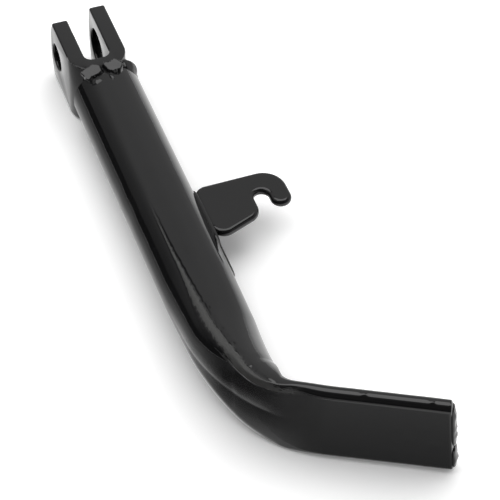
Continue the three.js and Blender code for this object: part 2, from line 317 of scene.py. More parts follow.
def new_material(name: str) -> tuple[bpy.types.Material, bpy.types.NodeTree]:
    """Makes an empty node material.

    Args:
        name: Name of the material.

    Returns:
        The material and its node tree.
    """
    material = bpy.data.materials.new(name)
    material.use_nodes = True
    material.node_tree.nodes.clear()
    return material, material.node_tree


@dataclass(frozen=True)
class GlossBlackEnamel:
    """Gloss black stoving enamel, dipped or sprayed thick over mild steel.

    The wet coat levels into a deep mirror, so the eye reads it by reflections alone. What is
    left of the process is a faint orange peel, a few dust nibs and dull finger smudges. Along
    the press crease the paint is rougher and painted a lighter grey: partly scuff, partly a
    painted highlight.
    """

    name: str = "gloss_black_enamel"
    body: str = "#080809"
    thin: str = "#0d0d0e"
    scuff_highlight_grey: str = "#383837"
    ior: float = 1.5
    roughness: float = 0.055
    smudge_roughness: float = 0.13
    smudge_mm: float = 16.0
    peel_mm: float = 1.7
    peel_height_mm: float = 0.0035
    nib_mm: float = 2.4
    nib_height_mm: float = 0.02
    scuff_roughness: float = 0.4
    smudge_span: tuple[float, float] = (0.45, 0.75)
    nib_reach: float = 0.13
    nib_share: tuple[float, float] = (0.86, 0.9)

    def material(self) -> bpy.types.Material:
        """Builds the enamel's material.

        Returns:
            The material.
        """
        material, tree = new_material(self.name)
        place = add_node(tree, "TexCoord").outputs["Object"]
        clouds, peel = (
            add_node(tree, "TexNoise", {"Scale": 1 / (size_mm * MM), "Detail": detail},
                     {"Vector": place}).outputs["Fac"]
            for size_mm, detail in ((self.smudge_mm, 3.0), (self.peel_mm, 1.0)))
        colour = add_node(tree, "MixRGB", {"Color1": linear(self.body), "Color2": linear(self.thin)},
                          {"Fac": clouds})
        # Lighter grey along the crease: partly scuffed paint, partly a painted highlight.
        scuff_and_highlight = add_node(tree, "Attribute", {".attribute_name": "scuff_and_highlight"}).outputs["Fac"]
        colour = add_node(tree, "MixRGB", {"Color2": linear(self.scuff_highlight_grey)},
                          {"Fac": scuff_and_highlight, "Color1": colour.outputs["Color"]})
        low, high = self.smudge_span
        smudge = add_node(tree, "MapRange", {"From Min": low, "From Max": high,
                                             "To Min": self.roughness,
                                             "To Max": self.smudge_roughness}, {"Value": clouds})
        dull = add_node(tree, "Math", {".operation": "MULTIPLY_ADD", 1: self.scuff_roughness},
                        {0: scuff_and_highlight, 2: smudge.outputs["Result"]})
        bump = add_node(tree, "Bump", {"Strength": 1.0, "Distance": self.peel_height_mm * MM},
                        {"Height": peel})
        bump = add_node(tree, "Bump", {"Strength": 1.0, "Distance": self.nib_height_mm * MM},
                        {"Height": self.nibs(tree, place), "Normal": bump.outputs["Normal"]})
        paint = add_node(tree, "BsdfPrincipled", {"IOR": self.ior},
                         {"Base Color": colour.outputs["Color"], "Roughness": dull.outputs[0],
                          "Normal": bump.outputs["Normal"]})
        add_node(tree, "OutputMaterial", links={"Surface": paint.outputs["BSDF"]})
        return material

    def nibs(self, tree: bpy.types.NodeTree,
             place: bpy.types.NodeSocket) -> bpy.types.NodeSocket:
        """Adds rare round dust nibs under the paint.

        Args:
            tree: The node tree.
            place: The socket that gives the position.

        Returns:
            The socket that gives the nibs' height, from 0 to 1.
        """
        cells = add_node(tree, "TexVoronoi", {"Scale": 1 / (self.nib_mm * MM), "Randomness": 1.0},
                         {"Vector": place})
        dot = add_node(tree, "MapRange", {".interpolation_type": "SMOOTHSTEP", "From Min": 0.0,
                                          "From Max": self.nib_reach, "To Min": 1.0,
                                          "To Max": 0.0}, {"Value": cells.outputs["Distance"]})
        low, high = self.nib_share
        rare = add_node(tree, "MapRange", {"From Min": low, "From Max": high},
                        {"Value": cells.outputs["Color"]})
        both = add_node(tree, "Math", {".operation": "MULTIPLY"},
                        {0: dot.outputs["Result"], 1: rare.outputs["Result"]})
        return both.outputs["Value"]


# ------------------------------------------------------------------ the pressed tube

EAR_MOUNT_BACK = -10.0  # y of the left ear's mount, seen from the pivot axis
WALL_TOP = 10.0  # y at which the tube's walls are taken to begin, above its cut end
OFF_CREASE = 99.0  # a distance from the crease that is out of its reach
CREASE_TURN = 0.9  # sine of the steepest place on the section that the crease may take


@dataclass(frozen=True)
class Wall:
    """One side of the leg seen from above: straight, drawn inwards, then turned to the foot."""

    side: int
    lead: float
    drawn: float
    turn: float


@dataclass(frozen=True)
class SkinMark:
    """A nib or a dent in the skin."""

    along: float
    around: float
    size: float
    height: float


@dataclass
class PressedTube:
    """Round tube, bent and pressed flat into the foot."""

    radius: float = 12.7
    wall: float = 2.5
    cut_end: float = -24.6
    length: float = 178.1
    bend: float = math.radians(62.3)
    spine_radius: float = 16.5
    foot_length: float = 62.5
    foot_height: float = 32.9
    foot_thickness: float = 5.4
    cut_slant: float = 3.8
    girth_hold: float = 5.0
    outer: Wall = Wall(side=-1, lead=51, drawn=2.6, turn=59.7)
    inner: Wall = Wall(side=1, lead=34, drawn=4.4, turn=5)
    step: float = 0.5
    columns: int = 190
    crease_columns: int = 53
    crease_zone: float = 5.2
    crest: float = 0.3
    crease_height: float = 0.88
    # Distance along the leg, and how far the crease lies to the inner side there.
    crease: tuple[tuple[float, float], ...] = (
        (64, -6.4), (83, -6.3), (98, -5.95), (115, -5.6), (123, -5.05), (131, -4.2), (141, -2.6),
        (147, -2.2), (152, -2.5), (160, -2.6), (168, -1.0), (176, 0.0),
    )
    marks: tuple[SkinMark, ...] = (
        SkinMark(along=184.4, around=0.6, size=0.55, height=0.3),
        SkinMark(along=205.7, around=0.6, size=0.5, height=0.28),
        SkinMark(along=196.0, around=14.4, size=1.3, height=-0.12),
        SkinMark(along=204.3, around=13.4, size=1.1, height=-0.13),
        SkinMark(along=201.0, around=19.5, size=1.4, height=-0.1),
        SkinMark(along=208.0, around=21.0, size=1.2, height=-0.14),
        SkinMark(along=188.0, around=11.0, size=3.0, height=-0.08),
        SkinMark(along=147.2, around=2.6, size=0.5, height=0.16),
        SkinMark(along=160.5, around=2.4, size=0.45, height=0.14),
    )
    wall_blend: float = 1.6
    end_round: float = 0.9
    slant_run: float = 9.0
    bore_stride: int = 10
    bore_least: float = 0.6
    crest_fade: float = 0.35
    rounding: Window = Window(96, 136, 148, 171)
    drop_weight: float = 2.6
    wave: Ripple = Ripple(height=0.02, period=14, seed=3)
    lip: Window = Window(-0.9, 0.5, 0.8, 3.6)
    lip_height: float = 0.34
    lip_width: Ramp = Ramp(0.4, 0.95, 78, 150)
    crease_gain: tuple[Ramp, ...] = (Ramp(0.0, 0.5, 66, 88), Ramp(0.0, 0.5, 100, 145))
    crease_fade: Ramp = Ramp(1.0, -1.0, 145, 160)
    groove_depth: float = 0.75
    groove_at: float = -1.3
    groove_width: float = 0.42
    crease_wander: Ripple = Ripple(height=0.22, period=3.0, seed=7)
    wander_fade: Ramp = Ramp(1.0, -0.8, 136, 150)
    # Where the crease is scuffed and painted as a highlight: along the leg, then across the crease.
    scuff_highlight_run: Window = Window(67, 90, 159, 167)
    scuff_highlight_band: Window = Window(-1.1, -0.6, 1.1, 2.1)
    scuff_grain: Ripple = Ripple(height=0.008, period=2.0, seed=8)
    grain_squeeze: float = 1.6
    scuff_highlight_fray: Ripple = Ripple(height=0.3, period=1.5, seed=9)
    fray_squeeze: float = 1.5
    foot_corner: np.ndarray = field(init=False)
    foot_along: np.ndarray = field(init=False)
    foot_side: np.ndarray = field(init=False)
    tangent: float = field(init=False)
    straight: float = field(init=False)
    arc: float = field(init=False)
    total: float = field(init=False)

    def __post_init__(self) -> None:
        """Works out the foot's directions and the spine's lengths."""
        self.foot_corner = np.array([0.0, -self.length])
        self.foot_along = np.array([math.sin(self.bend), -math.cos(self.bend)])
        self.foot_side = np.array([math.cos(self.bend), math.sin(self.bend)])
        self.tangent = self.spine_radius * math.tan(self.bend / 2)
        self.straight = self.length + self.cut_end - self.tangent
        self.arc = self.spine_radius * self.bend
        self.total = self.straight + self.arc + self.foot_length - self.tangent

    def spine(self, s: float) -> tuple[np.ndarray, np.ndarray, np.ndarray]:
        """Follows the line that the sections are drawn across.

        Args:
            s: Distance from the tube's cut end.

        Returns:
            The point, the direction ahead and the direction to the inner side.
        """
        turn = min(max((s - self.straight) / self.spine_radius, 0), self.bend)
        ahead = np.array([math.sin(turn), -math.cos(turn)])
        side = np.array([math.cos(turn), math.sin(turn)])
        at = np.array([0.0, self.cut_end - min(s, self.straight)])
        at += self.spine_radius * np.array([1 - math.cos(turn), -math.sin(turn)])
        at += ahead * max(0.0, s - self.straight - self.arc)
        return at, ahead, side

    def reach(self, wall: Wall, start: np.ndarray, heading: np.ndarray) -> float:
        """Measures from a point to one wall.

        Args:
            wall: The wall's shape.
            start: A point inside the leg, seen from above.
            heading: The direction to measure in.

        Returns:
            The distance in millimetres.
        """
        face = self.foot_corner @ self.foot_side + wall.side * self.foot_thickness / 2
        drawn_x = wall.side * (self.radius - wall.drawn)
        corner = np.array([drawn_x, (face - drawn_x * self.foot_side[0]) / self.foot_side[1]])
        narrow = np.array([wall.side * self.radius, -self.length + wall.lead])
        run = (corner - narrow) / np.linalg.norm(corner - narrow)
        sweep = math.acos(float(run @ self.foot_along))
        inward = np.array([-run[1], run[0]])
        tangent = wall.turn * math.tan(sweep / 2)
        centre = corner - run * tangent + inward * wall.turn
        arc_start = corner - run * tangent
        arc_end = corner + self.foot_along * tangent
        lines = [
            (np.array([narrow[0], WALL_TOP]), narrow),
            (narrow, arc_start),
            (arc_end, corner + self.foot_along * 3 * self.foot_length),
        ]
        found = [self.meet(start, heading, a, b) for a, b in lines]
        found.append(self.meet_arc(start, heading, centre, wall.turn, arc_start, arc_end))
        return min(found)

    def meet(self, start: np.ndarray, heading: np.ndarray, a: np.ndarray,
             b: np.ndarray) -> float:
        """Measures from a point to one straight run of a wall.

        Args:
            start: The point.
            heading: The direction to measure in.
            a: Where the run starts.
            b: Where it ends.

        Returns:
            The distance, or infinity if the run is missed.
        """
        edge = b - a
        across = heading[0] * edge[1] - heading[1] * edge[0]
        if abs(across) < HAIR:
            return math.inf
        to = a - start
        distance = (to[0] * edge[1] - to[1] * edge[0]) / across
        share = (to[0] * heading[1] - to[1] * heading[0]) / across
        return distance if -HAIR <= share <= 1 + HAIR and distance > -self.radius else math.inf

    def meet_arc(self, start: np.ndarray, heading: np.ndarray, centre: np.ndarray,
                 radius: float, a: np.ndarray, b: np.ndarray) -> float:
        """Measures from a point to the short arc of a wall.

        Args:
            start: The point.
            heading: The direction to measure in.
            centre: The arc's centre.
            radius: Its radius.
            a: Where it starts.
            b: Where it ends.

        Returns:
            The distance, or infinity if the arc is missed.
        """
        to = start - centre
        half = to @ heading
        rest = half * half - (to @ to - radius * radius)
        if rest < 0:
            return math.inf
        chord = np.linalg.norm(b - a)
        middle = (a + b) / 2
        best = math.inf
        for root in (-half - math.sqrt(rest), -half + math.sqrt(rest)):
            point = start + heading * root
            on_arc = np.linalg.norm(point - middle) <= chord / 2 + ARC_SLACK
            if on_arc and root > -self.radius:
                best = min(best, root)
        return best

    def sections(self) -> tuple[np.ndarray, list, np.ndarray, np.ndarray, np.ndarray]:
        """Measures the pressed tube's section all along the leg.

        Returns:
            The stations, the spine at each, and each section's radius, straight half height
            and sideways shift.
        """
        stations = np.linspace(0, self.total, round(self.total / self.step) + 1)
        spine = [self.spine(s) for s in stations]
        outer = np.array([self.reach(self.outer, at, -side) for at, _, side in spine])
        inner = np.array([self.reach(self.inner, at, side) for at, _, side in spine])
        outer = self.blended(outer)
        inner = self.blended(inner)
        radius = (outer + inner) / 2
        pressed = np.clip((self.radius - radius) / (self.radius - self.foot_thickness / 2), 0, 1)
        tube_girth = 2 * math.pi * self.radius
        foot_girth = math.pi * self.foot_thickness
        foot_girth += 2 * (self.foot_height - self.foot_thickness)
        girth = tube_girth + (foot_girth - tube_girth) * pressed ** self.girth_hold
        flat = np.maximum(0, (girth - 2 * math.pi * radius) / 4)
        return stations, spine, radius, flat, (inner - outer) / 2

    def blended(self, values: np.ndarray) -> np.ndarray:
        """Softens the kinks that the wall's straight runs make where they meet its arc.

        Args:
            values: Distances to the wall, station by station.

        Returns:
            The same distances, softened.
        """
        reach = round(3 * self.wall_blend / self.step)
        offsets = np.arange(-reach, reach + 1) * self.step
        kernel = np.exp(-0.5 * (offsets / self.wall_blend) ** 2)
        padded = np.pad(values, reach, mode="edge")
        return np.convolve(padded, kernel / kernel.sum(), mode="valid")

    def outline(self, radius: float, flat: float, inset: float, crease: float,
                pressed: float) -> tuple[np.ndarray, ...]:
        """Walks round one section, closely at the crease and evenly over the rest.

        Args:
            radius: Radius of its two half circles.
            flat: Half the length of its straight sides.
            inset: How far the walk stays inside the section.
            crease: Where the crease lies, as a distance from the section's middle.
            pressed: How far the press has rounded the upper outer side, from 0 to 1.

        Returns:
            Distance to the inner side, height, and distance walked from the top, which is
            positive on the outer side.
        """
        quarter = math.pi * radius / 2
        girth = 4 * quarter + 4 * flat
        centre = radius * math.asin(float(np.clip(-crease / radius, -CREASE_TURN, CREASE_TURN)))
        close = np.linspace(-self.crease_zone, self.crease_zone, self.crease_columns)
        rest = np.linspace(self.crease_zone, girth - self.crease_zone,
                           self.columns - self.crease_columns + 2)[1:-1]
        signed = (np.concatenate([close, rest]) + centre + girth / 2) % girth - girth / 2
        half = np.abs(signed)
        angle = np.where(half < quarter, half / radius,
                         np.where(half < quarter + 2 * flat, math.pi / 2,
                                  (half - 2 * flat) / radius))
        level = np.where(half < quarter, flat,
                         np.where(half < quarter + 2 * flat, flat - (half - quarter), -flat))
        towards = np.where(signed >= 0, -1.0, 1.0)
        drawn = radius - inset
        across = towards * drawn * np.sin(angle)
        height = level + drawn * np.cos(angle)
        turn = np.clip(half / (quarter + flat), 0, 1) * math.pi / 2
        rounded = pressed * ((signed >= 0) & (half < quarter + flat))
        across = across + rounded * (-drawn * np.sin(turn) - across)
        height = height + rounded * ((flat + drawn) * np.cos(turn) - height)
        angle = np.where(rounded > 0, turn, angle)
        on_top = np.where(height > 0, np.cos(np.minimum(angle, math.pi / 2)), 0.0)
        moved = pressed * (crease + self.crest)
        across = across + moved * on_top * (1 - self.crest_fade * np.sin(angle))
        return across, height, signed

    def crease_line(self, s: float) -> float:
        """Where the press left its crease, as a distance from the spine to the inner side."""
        return float(np.interp(s, [at for at, _ in self.crease], [x for _, x in self.crease]))

    def skin(self) -> tuple[np.ndarray, np.ndarray, np.ndarray, np.ndarray]:
        """Lays out the leg's outer skin.

        Returns:
            Points as rows of rings, and for each point its distance along the leg, its
            distance round from the top and its distance outwards from the crease.
        """
        stations, spine, radius, flat, shift = self.sections()
        rings, along, around, beside = [], [], [], []
        for s, (at, ahead, side), r, f, move in zip(stations, spine, radius, flat, shift):
            left = self.total - s
            inset = 0.0
            if left < self.end_round:
                inset = self.end_round - math.sqrt(self.end_round ** 2
                                                   - (self.end_round - left) ** 2)
            crease = self.crease_line(s) - move
            pressed = float(self.rounding.over(s))
            across, level, signed = self.outline(r, f, inset, crease, pressed)
            ring = self.place(at, ahead, side, across + move, level, s)
            rings.append(ring)
            along.append(np.full(self.columns, s))
            around.append(signed)
            drop = np.maximum(0, self.crease_height * (r + f) - level) * (signed >= 0)
            apart = crease - across + self.drop_weight * drop
            beside.append(np.where(level > 0, apart, OFF_CREASE))
        return np.array(rings), np.array(along), np.array(around), np.array(beside)

    def place(self, at: np.ndarray, ahead: np.ndarray, side: np.ndarray, across: np.ndarray,
              level: np.ndarray, s: float) -> np.ndarray:
        """Sets one ring in space, sheared near the foot's slanted cut.

        Args:
            at: The spine's point.
            ahead: The direction ahead.
            side: The direction to the inner side.
            across: Each point's distance to the inner side.
            level: Its height.
            s: The ring's distance from the tube's cut end.

        Returns:
            Points with x, y and z.
        """
        flat_point = at + np.outer(across, side)
        shear = self.cut_slant / self.foot_height
        shear *= float(smoothstep(self.total - self.slant_run, self.total, s))
        flat_point = flat_point - np.outer(level * shear, ahead)
        return np.column_stack([flat_point, level])

    def normals(self, rings: np.ndarray) -> np.ndarray:
        """Works out which way the skin faces.

        Args:
            rings: Points as rows of rings.

        Returns:
            An outward unit normal for each point.
        """
        around = np.roll(rings, -1, axis=1) - np.roll(rings, 1, axis=1)
        along = np.gradient(rings, axis=0)
        normal = np.cross(around, along)
        normal /= np.linalg.norm(normal, axis=2, keepdims=True)
        outward = rings - rings.mean(axis=1, keepdims=True)
        return normal * np.sign(np.sum(normal * outward, axis=(1, 2), keepdims=True))

    def relief(self, along: np.ndarray, around: np.ndarray, beside: np.ndarray) -> np.ndarray:
        """Heights of the press marks, runs and nibs above the plain skin.

        Args:
            along: Distance of each point along the leg.
            around: Its distance round from the top.
            beside: Its distance outwards from the crease.

        Returns:
            Heights in millimetres.
        """
        height = self.wave.over(along, around)
        apart, strong = self.crease_share(along, beside)
        groove = np.exp(-0.5 * ((apart - self.groove_at) / self.groove_width) ** 2)
        height += strong * (self.lip_height * self.lip.over(apart) - self.groove_depth * groove)
        grain = self.scuff_grain.over(along, self.grain_squeeze * around)
        height += self.scuff_and_highlight(along, around, beside) * grain
        for mark in self.marks:
            far = np.hypot(along - mark.along, around - mark.around) / mark.size
            height += mark.height * np.exp(-0.5 * far ** 2)
        return height

    def crease_share(self, along: np.ndarray, beside: np.ndarray) -> tuple[np.ndarray, np.ndarray]:
        """Measures the crease.

        Args:
            along: Distance of each point along the leg.
            beside: Its distance outwards from the crease.

        Returns:
            The distance from the crease in widths of its lip, and the crease's strength.
        """
        strong = sum(ramp.over(along) for ramp in self.crease_gain)
        strong = strong * self.crease_fade.over(along)
        ragged = self.crease_wander.over(along, 0 * along)
        apart = beside / self.lip_width.over(along) + ragged * self.wander_fade.over(along)
        return apart, strong

    def scuff_and_highlight(self, along: np.ndarray, around: np.ndarray, beside: np.ndarray) -> np.ndarray:
        """Works out how far the press has scuffed the skin, which is also where the enamel paints
        the crease's highlight.

        Args:
            along: Distance of each point along the leg.
            around: Its distance round from the top.
            beside: Its distance outwards from the crease.

        Returns:
            A share for each point, from 0 to 1.
        """
        apart, _ = self.crease_share(along, beside)
        frayed = apart + self.scuff_highlight_fray.over(along, self.fray_squeeze * around)
        return self.scuff_highlight_run.over(along) * self.scuff_highlight_band.over(frayed)

    def bore(self) -> np.ndarray:
        """Lays out the hollow inside, from the cut end to where the walls meet.

        Returns:
            Points as rows of rings.
        """
        stations, spine, radius, flat, shift = self.sections()
        rings = []
        for i in range(0, len(stations), self.bore_stride):
            if radius[i] < self.wall + self.bore_least:
                break
            at, ahead, side = spine[i]
            across, level, _ = self.outline(radius[i], flat[i], self.wall, 0.0, 0.0)
            rings.append(self.place(at, ahead, side, across + shift[i], level, stations[i]))
        return np.array(rings)

    def build(self, bench: Bench, finish: bpy.types.Material) -> None:
        """Makes the leg: outer skin, bore, and the ends that join them.

        Args:
            bench: The bench that finishes and places pieces.
            finish: The enamel.
        """
        rings, along, around, beside = self.skin()
        rings = rings + self.normals(rings) * self.relief(along, around, beside)[:, :, None]
        bore = self.bore()
        rows, inside = len(rings), len(bore)
        points = np.concatenate([rings.reshape(-1, 3), bore.reshape(-1, 3),
                                 rings[-1].mean(axis=0)[None], bore[-1].mean(axis=0)[None]])
        faces = strip_faces(rows, self.columns)
        faces += strip_faces(inside, self.columns, first=rows * self.columns)
        foot_middle, bore_middle = len(points) - 2, len(points) - 1
        last = (rows - 1) * self.columns
        first = rows * self.columns
        deep = (rows + inside - 1) * self.columns
        for i in range(self.columns):
            j = (i + 1) % self.columns
            faces.append((i, j, first + j, first + i))
            faces.append((last + i, last + j, foot_middle))
            faces.append((deep + i, deep + j, bore_middle))
        leg = bench.piece("painted_leg_tube", points, faces, "leg_tube", finish)
        # The share sets the scuff's roughness and the crease's painted highlight in the enamel.
        scuff_and_highlight_share = np.zeros(len(points))
        scuff_and_highlight_share[:along.size] = self.scuff_and_highlight(along, around, beside).ravel()
        leg.data.attributes.new("scuff_and_highlight", "FLOAT", "POINT").data.foreach_set("value", scuff_and_highlight_share)


# ------------------------------------------------------------------ the yoke


@dataclass
class Yoke:
    """Flat bar bent into a U, with two ears that straddle the frame lug."""

    thickness: float = 6.0
    width: float = 26.0
    gap: float = 9.5
    offset: float = -0.95
    bend: float = 3.0
    slot_depth: float = 18.3
    left_tip: float = 8.2
    left_tip_radius: float = 26.0
    left_hole: float = 5.1
    right_tip: float = 10.5
    right_tip_radius: float = 45.0
    right_hole: float = 7.5
    edge_round: float = 0.75
    edge_segments: int = 4
    turn_steps: int = 24
    hole_steps: int = 96
    spare: float = 2.0

    def outline(self, grow: float = 0.0) -> list[tuple[float, float]]:
        """The bent bar seen from above, drawn grow larger all round.

        Args:
            grow: How far outside the bar the outline runs.

        Returns:
            Points of the closed outline.
        """
        inner = self.gap / 2 - grow
        outer = self.gap / 2 + self.thickness + grow
        inside = self.bend - grow
        outside = self.bend + self.thickness + grow
        slot = -self.slot_depth + grow
        back = -self.slot_depth - self.thickness - grow
        front = max(self.left_tip, self.right_tip) + self.spare
        points = [(-outer, front)]
        points += arc((-outer + outside, back + outside), outside, 180, 270, self.turn_steps)
        points += arc((outer - outside, back + outside), outside, 270, 360, self.turn_steps)
        points += [(outer, front), (inner, front)]
        points += arc((inner - inside, slot + inside), inside, 0, -90, self.turn_steps)
        points += arc((-inner + inside, slot + inside), inside, -90, -180, self.turn_steps)
        points += [(-inner, front)]
        return [(x + self.offset, y) for x, y in points]

    def ear_side(self, tip: float, tip_radius: float) -> list[tuple[float, float]]:
        """Draws an ear seen from the side: straight edges and a rounded tip.

        Args:
            tip: How far the ear reaches past the pivot axis.
            tip_radius: Radius of its rounded tip.

        Returns:
            Points as (y, z).
        """
        half = self.width / 2
        sweep = math.degrees(math.asin(half / tip_radius))
        behind = -self.slot_depth - self.thickness - self.spare / 2
        points = [(behind, half), (behind, -half)]
        points += arc((tip - tip_radius, 0), tip_radius, -sweep, sweep, self.turn_steps)
        return points

    def build(self, bench: Bench, finish: bpy.types.Material) -> None:
        """Makes the yoke: the bent bar, trimmed to its ears, drilled and eased at its edges.

        Args:
            bench: The bench that finishes and places pieces.
            finish: The enamel.
        """
        bar = prism("yoke_bar", [(x, y, -self.width) for x, y in self.outline()],
                    (0, 0, 2 * self.width))
        reach = self.gap / 2 + self.thickness + self.spare
        sides = ((-reach, 0.0, self.left_tip, self.left_tip_radius, self.left_hole),
                 (0.0, reach, self.right_tip, self.right_tip_radius, self.right_hole))
        ears = []
        holes = []
        for low, high, tip, tip_radius, hole in sides:
            start = self.offset + low
            depth = (high - low, 0, 0)
            shape = [(start, y, z) for y, z in self.ear_side(tip, tip_radius)]
            ears.append(prism("ear", shape, depth))
            ring = arc((0, 0), hole, 0, 360 - 360 / self.hole_steps, self.hole_steps - 1)
            holes.append(prism("hole", [(start, y, z) for y, z in ring], depth))
        cut(ears[0], ears[1], Cut.JOIN)
        cut(bar, ears[0], Cut.TRIM)
        for hole in holes:
            cut(bar, hole, Cut.DRILL)
        ease_edges(bar, self.edge_round, self.edge_segments)
        bar.name = "painted_yoke"
        bench.register(bar, "yoke", finish)


def arc(centre: tuple[float, float], radius: float, start: float, end: float,
        steps: int) -> list[tuple[float, float]]:
    """Points along an arc.

    Args:
        centre: Centre of the arc.
        radius: Its radius.
        start: First angle, in degrees.
        end: Last angle, in degrees.
        steps: Number of steps between the first and the last point.

    Returns:
        steps + 1 points.
    """
    angles = np.radians(np.linspace(start, end, steps + 1))
    return [(centre[0] + radius * math.cos(a), centre[1] + radius * math.sin(a)) for a in angles]


def prism(name: str, base: Sequence[tuple], push: Sequence[float]) -> bpy.types.Object:
    """Pushes a flat outline along a line into a closed solid.

    Args:
        name: Name of the object.
        base: Points of the outline, in order.
        push: The way and distance it is pushed.

    Returns:
        The new object, in millimetres.
    """
    count = len(base)
    points = [Vector(p) for p in base] + [Vector(p) + Vector(push) for p in base]
    faces = [tuple(range(count)), tuple(range(count, 2 * count))]
    faces += [(i, (i + 1) % count, count + (i + 1) % count, count + i) for i in range(count)]
    obj = mesh_object(name, points, faces)
    faces_out(obj.data)
    return obj


def apply_modifiers(obj: bpy.types.Object) -> None:
    """Bakes an object's modifiers into its mesh.

    Args:
        obj: The object.
    """
    bpy.context.view_layer.update()
    view = bpy.context.evaluated_depsgraph_get()
    mesh = bpy.data.meshes.new_from_object(obj.evaluated_get(view))
    obj.modifiers.clear()
    obj.data = mesh


class Cut(Enum):
    """What a tool does to the solid that it meets."""

    JOIN = "UNION"
    TRIM = "INTERSECT"
    DRILL = "DIFFERENCE"


def cut(obj: bpy.types.Object, tool: bpy.types.Object, kind: Cut) -> None:
    """Joins a tool to an object, or cuts with it, and removes the tool.

    Args:
        obj: The object that stays.
        tool: The object that is used up.
        kind: What the tool does.
    """
    step = obj.modifiers.new("cut", "BOOLEAN")
    step.operation = kind.value
    step.solver = "EXACT"
    step.object = tool
    apply_modifiers(obj)
    bpy.data.objects.remove(tool)


def ease_edges(obj: bpy.types.Object, radius: float, segments: int) -> None:
    """Rounds the hard edges of a solid.

    Args:
        obj: The object.
        radius: Width of the rounding.
        segments: How many strips it is made of.
    """
    work = bmesh.new()
    work.from_mesh(obj.data)
    bmesh.ops.dissolve_limit(work, angle_limit=math.radians(FLAT_EDGE_DEG), verts=work.verts,
                             edges=work.edges)
    work.to_mesh(obj.data)
    work.free()
    step = obj.modifiers.new("ease", "BEVEL")
    step.width = radius
    step.segments = segments
    step.limit_method = "ANGLE"
    step.angle_limit = math.radians(HARD_EDGE_DEG)
    step.use_clamp_overlap = False
    apply_modifiers(obj)


# ------------------------------------------------------------------ the spring hook


@dataclass
class SpringHook:
    """Pressed plate with a notch for the return spring, its edges rolled by the press."""

    plate: float = 3.2
    root: float = 13.0
    start: float = -80.6
    reach: float = 31.9
    length: float = 20.4
    taper: float = 3.0
    corner_root: float = 4.2
    corner_outer: float = 8.5
    corner_foot: float = 5.0
    lobe: float = 5.5
    notch_width: float = 5.4
    notch_depth: float = 8.0
    finger_width: float = 7.6
    finger_short: float = 3.6
    edge_round: float = 1.5
    face_rim: float = 0.3
    turn_steps: int = 14
    roll_steps: int = 7

    def outline(self, inset: float) -> list[tuple[float, float]]:
        """The plate seen from above, drawn inset smaller all round.

        Args:
            inset: How far inside the plate's edge the outline runs.

        Returns:
            Points of the closed outline, the same number for every inset.
        """
        start = self.start - inset
        edge = self.root + self.reach - inset
        lobe_end = self.start - self.length + inset
        finger_end = lobe_end + self.finger_short
        finger = self.finger_width / 2 - inset
        notch = self.notch_width / 2 + inset
        notch_right = edge - 2 * finger
        notch_end = self.start - self.length + self.finger_short + self.notch_depth
        notch_end += inset
        lobe = (self.root + self.reach - self.finger_width - self.notch_width - self.lobe,
                self.start - self.length + self.lobe)
        foot = (self.root + self.corner_foot,
                self.start - self.length - self.taper + self.corner_foot)
        tilt = math.degrees(math.atan2(lobe[1] - foot[1], lobe[0] - foot[0])) - 90
        outer = self.corner_outer
        steps = self.turn_steps
        points = arc((self.root + self.corner_root, self.start - self.corner_root),
                     self.corner_root - inset, 180, 90, steps)
        points += arc((edge + inset - outer, start + inset - outer), outer - inset, 90, 0, steps)
        points += arc((edge - finger, finger_end + finger), finger, 0, -180, 2 * steps)
        points += arc((notch_right - notch, notch_end - notch), notch, 0, 180, 2 * steps)
        points += arc(lobe, self.lobe - inset, 0, tilt, steps)
        points += arc(foot, self.corner_foot - inset, tilt, -180, steps)
        return points

    def build(self, bench: Bench, finish: bpy.types.Material) -> None:
        """Makes the plate as rings that roll over its upper and lower edges.

        Args:
            bench: The bench that finishes and places pieces.
            finish: The enamel.
        """
        half = self.plate / 2
        rolls = [math.pi / 2 * k / self.roll_steps for k in range(self.roll_steps + 1)]
        profile = [(self.edge_round + self.face_rim, half)]
        profile += [(self.edge_round * (1 - math.sin(a)),
                     half - self.edge_round * (1 - math.cos(a))) for a in rolls]
        profile += [(inset, -z) for inset, z in reversed(profile)]
        rings = [[(x, y, z) for x, y in self.outline(inset)] for inset, z in profile]
        count = len(rings[0])
        points = np.array(rings).reshape(-1, 3)
        faces = strip_faces(len(rings), count)
        last = (len(rings) - 1) * count
        faces += [tuple(range(count)), tuple(range(last, last + count))]
        bench.piece("painted_spring_hook", points, faces, "spring_hook_plate", finish)


# ------------------------------------------------------------------ welds


@dataclass(frozen=True)
class WeldLump:
    """One frozen pool of weld metal on the round of the tube."""

    angle: float
    y: float
    across: float
    along: float
    rise: float
    slope: float
    crown: float = 0.7
    ragged: float = 1.0
    facing: float | None = None


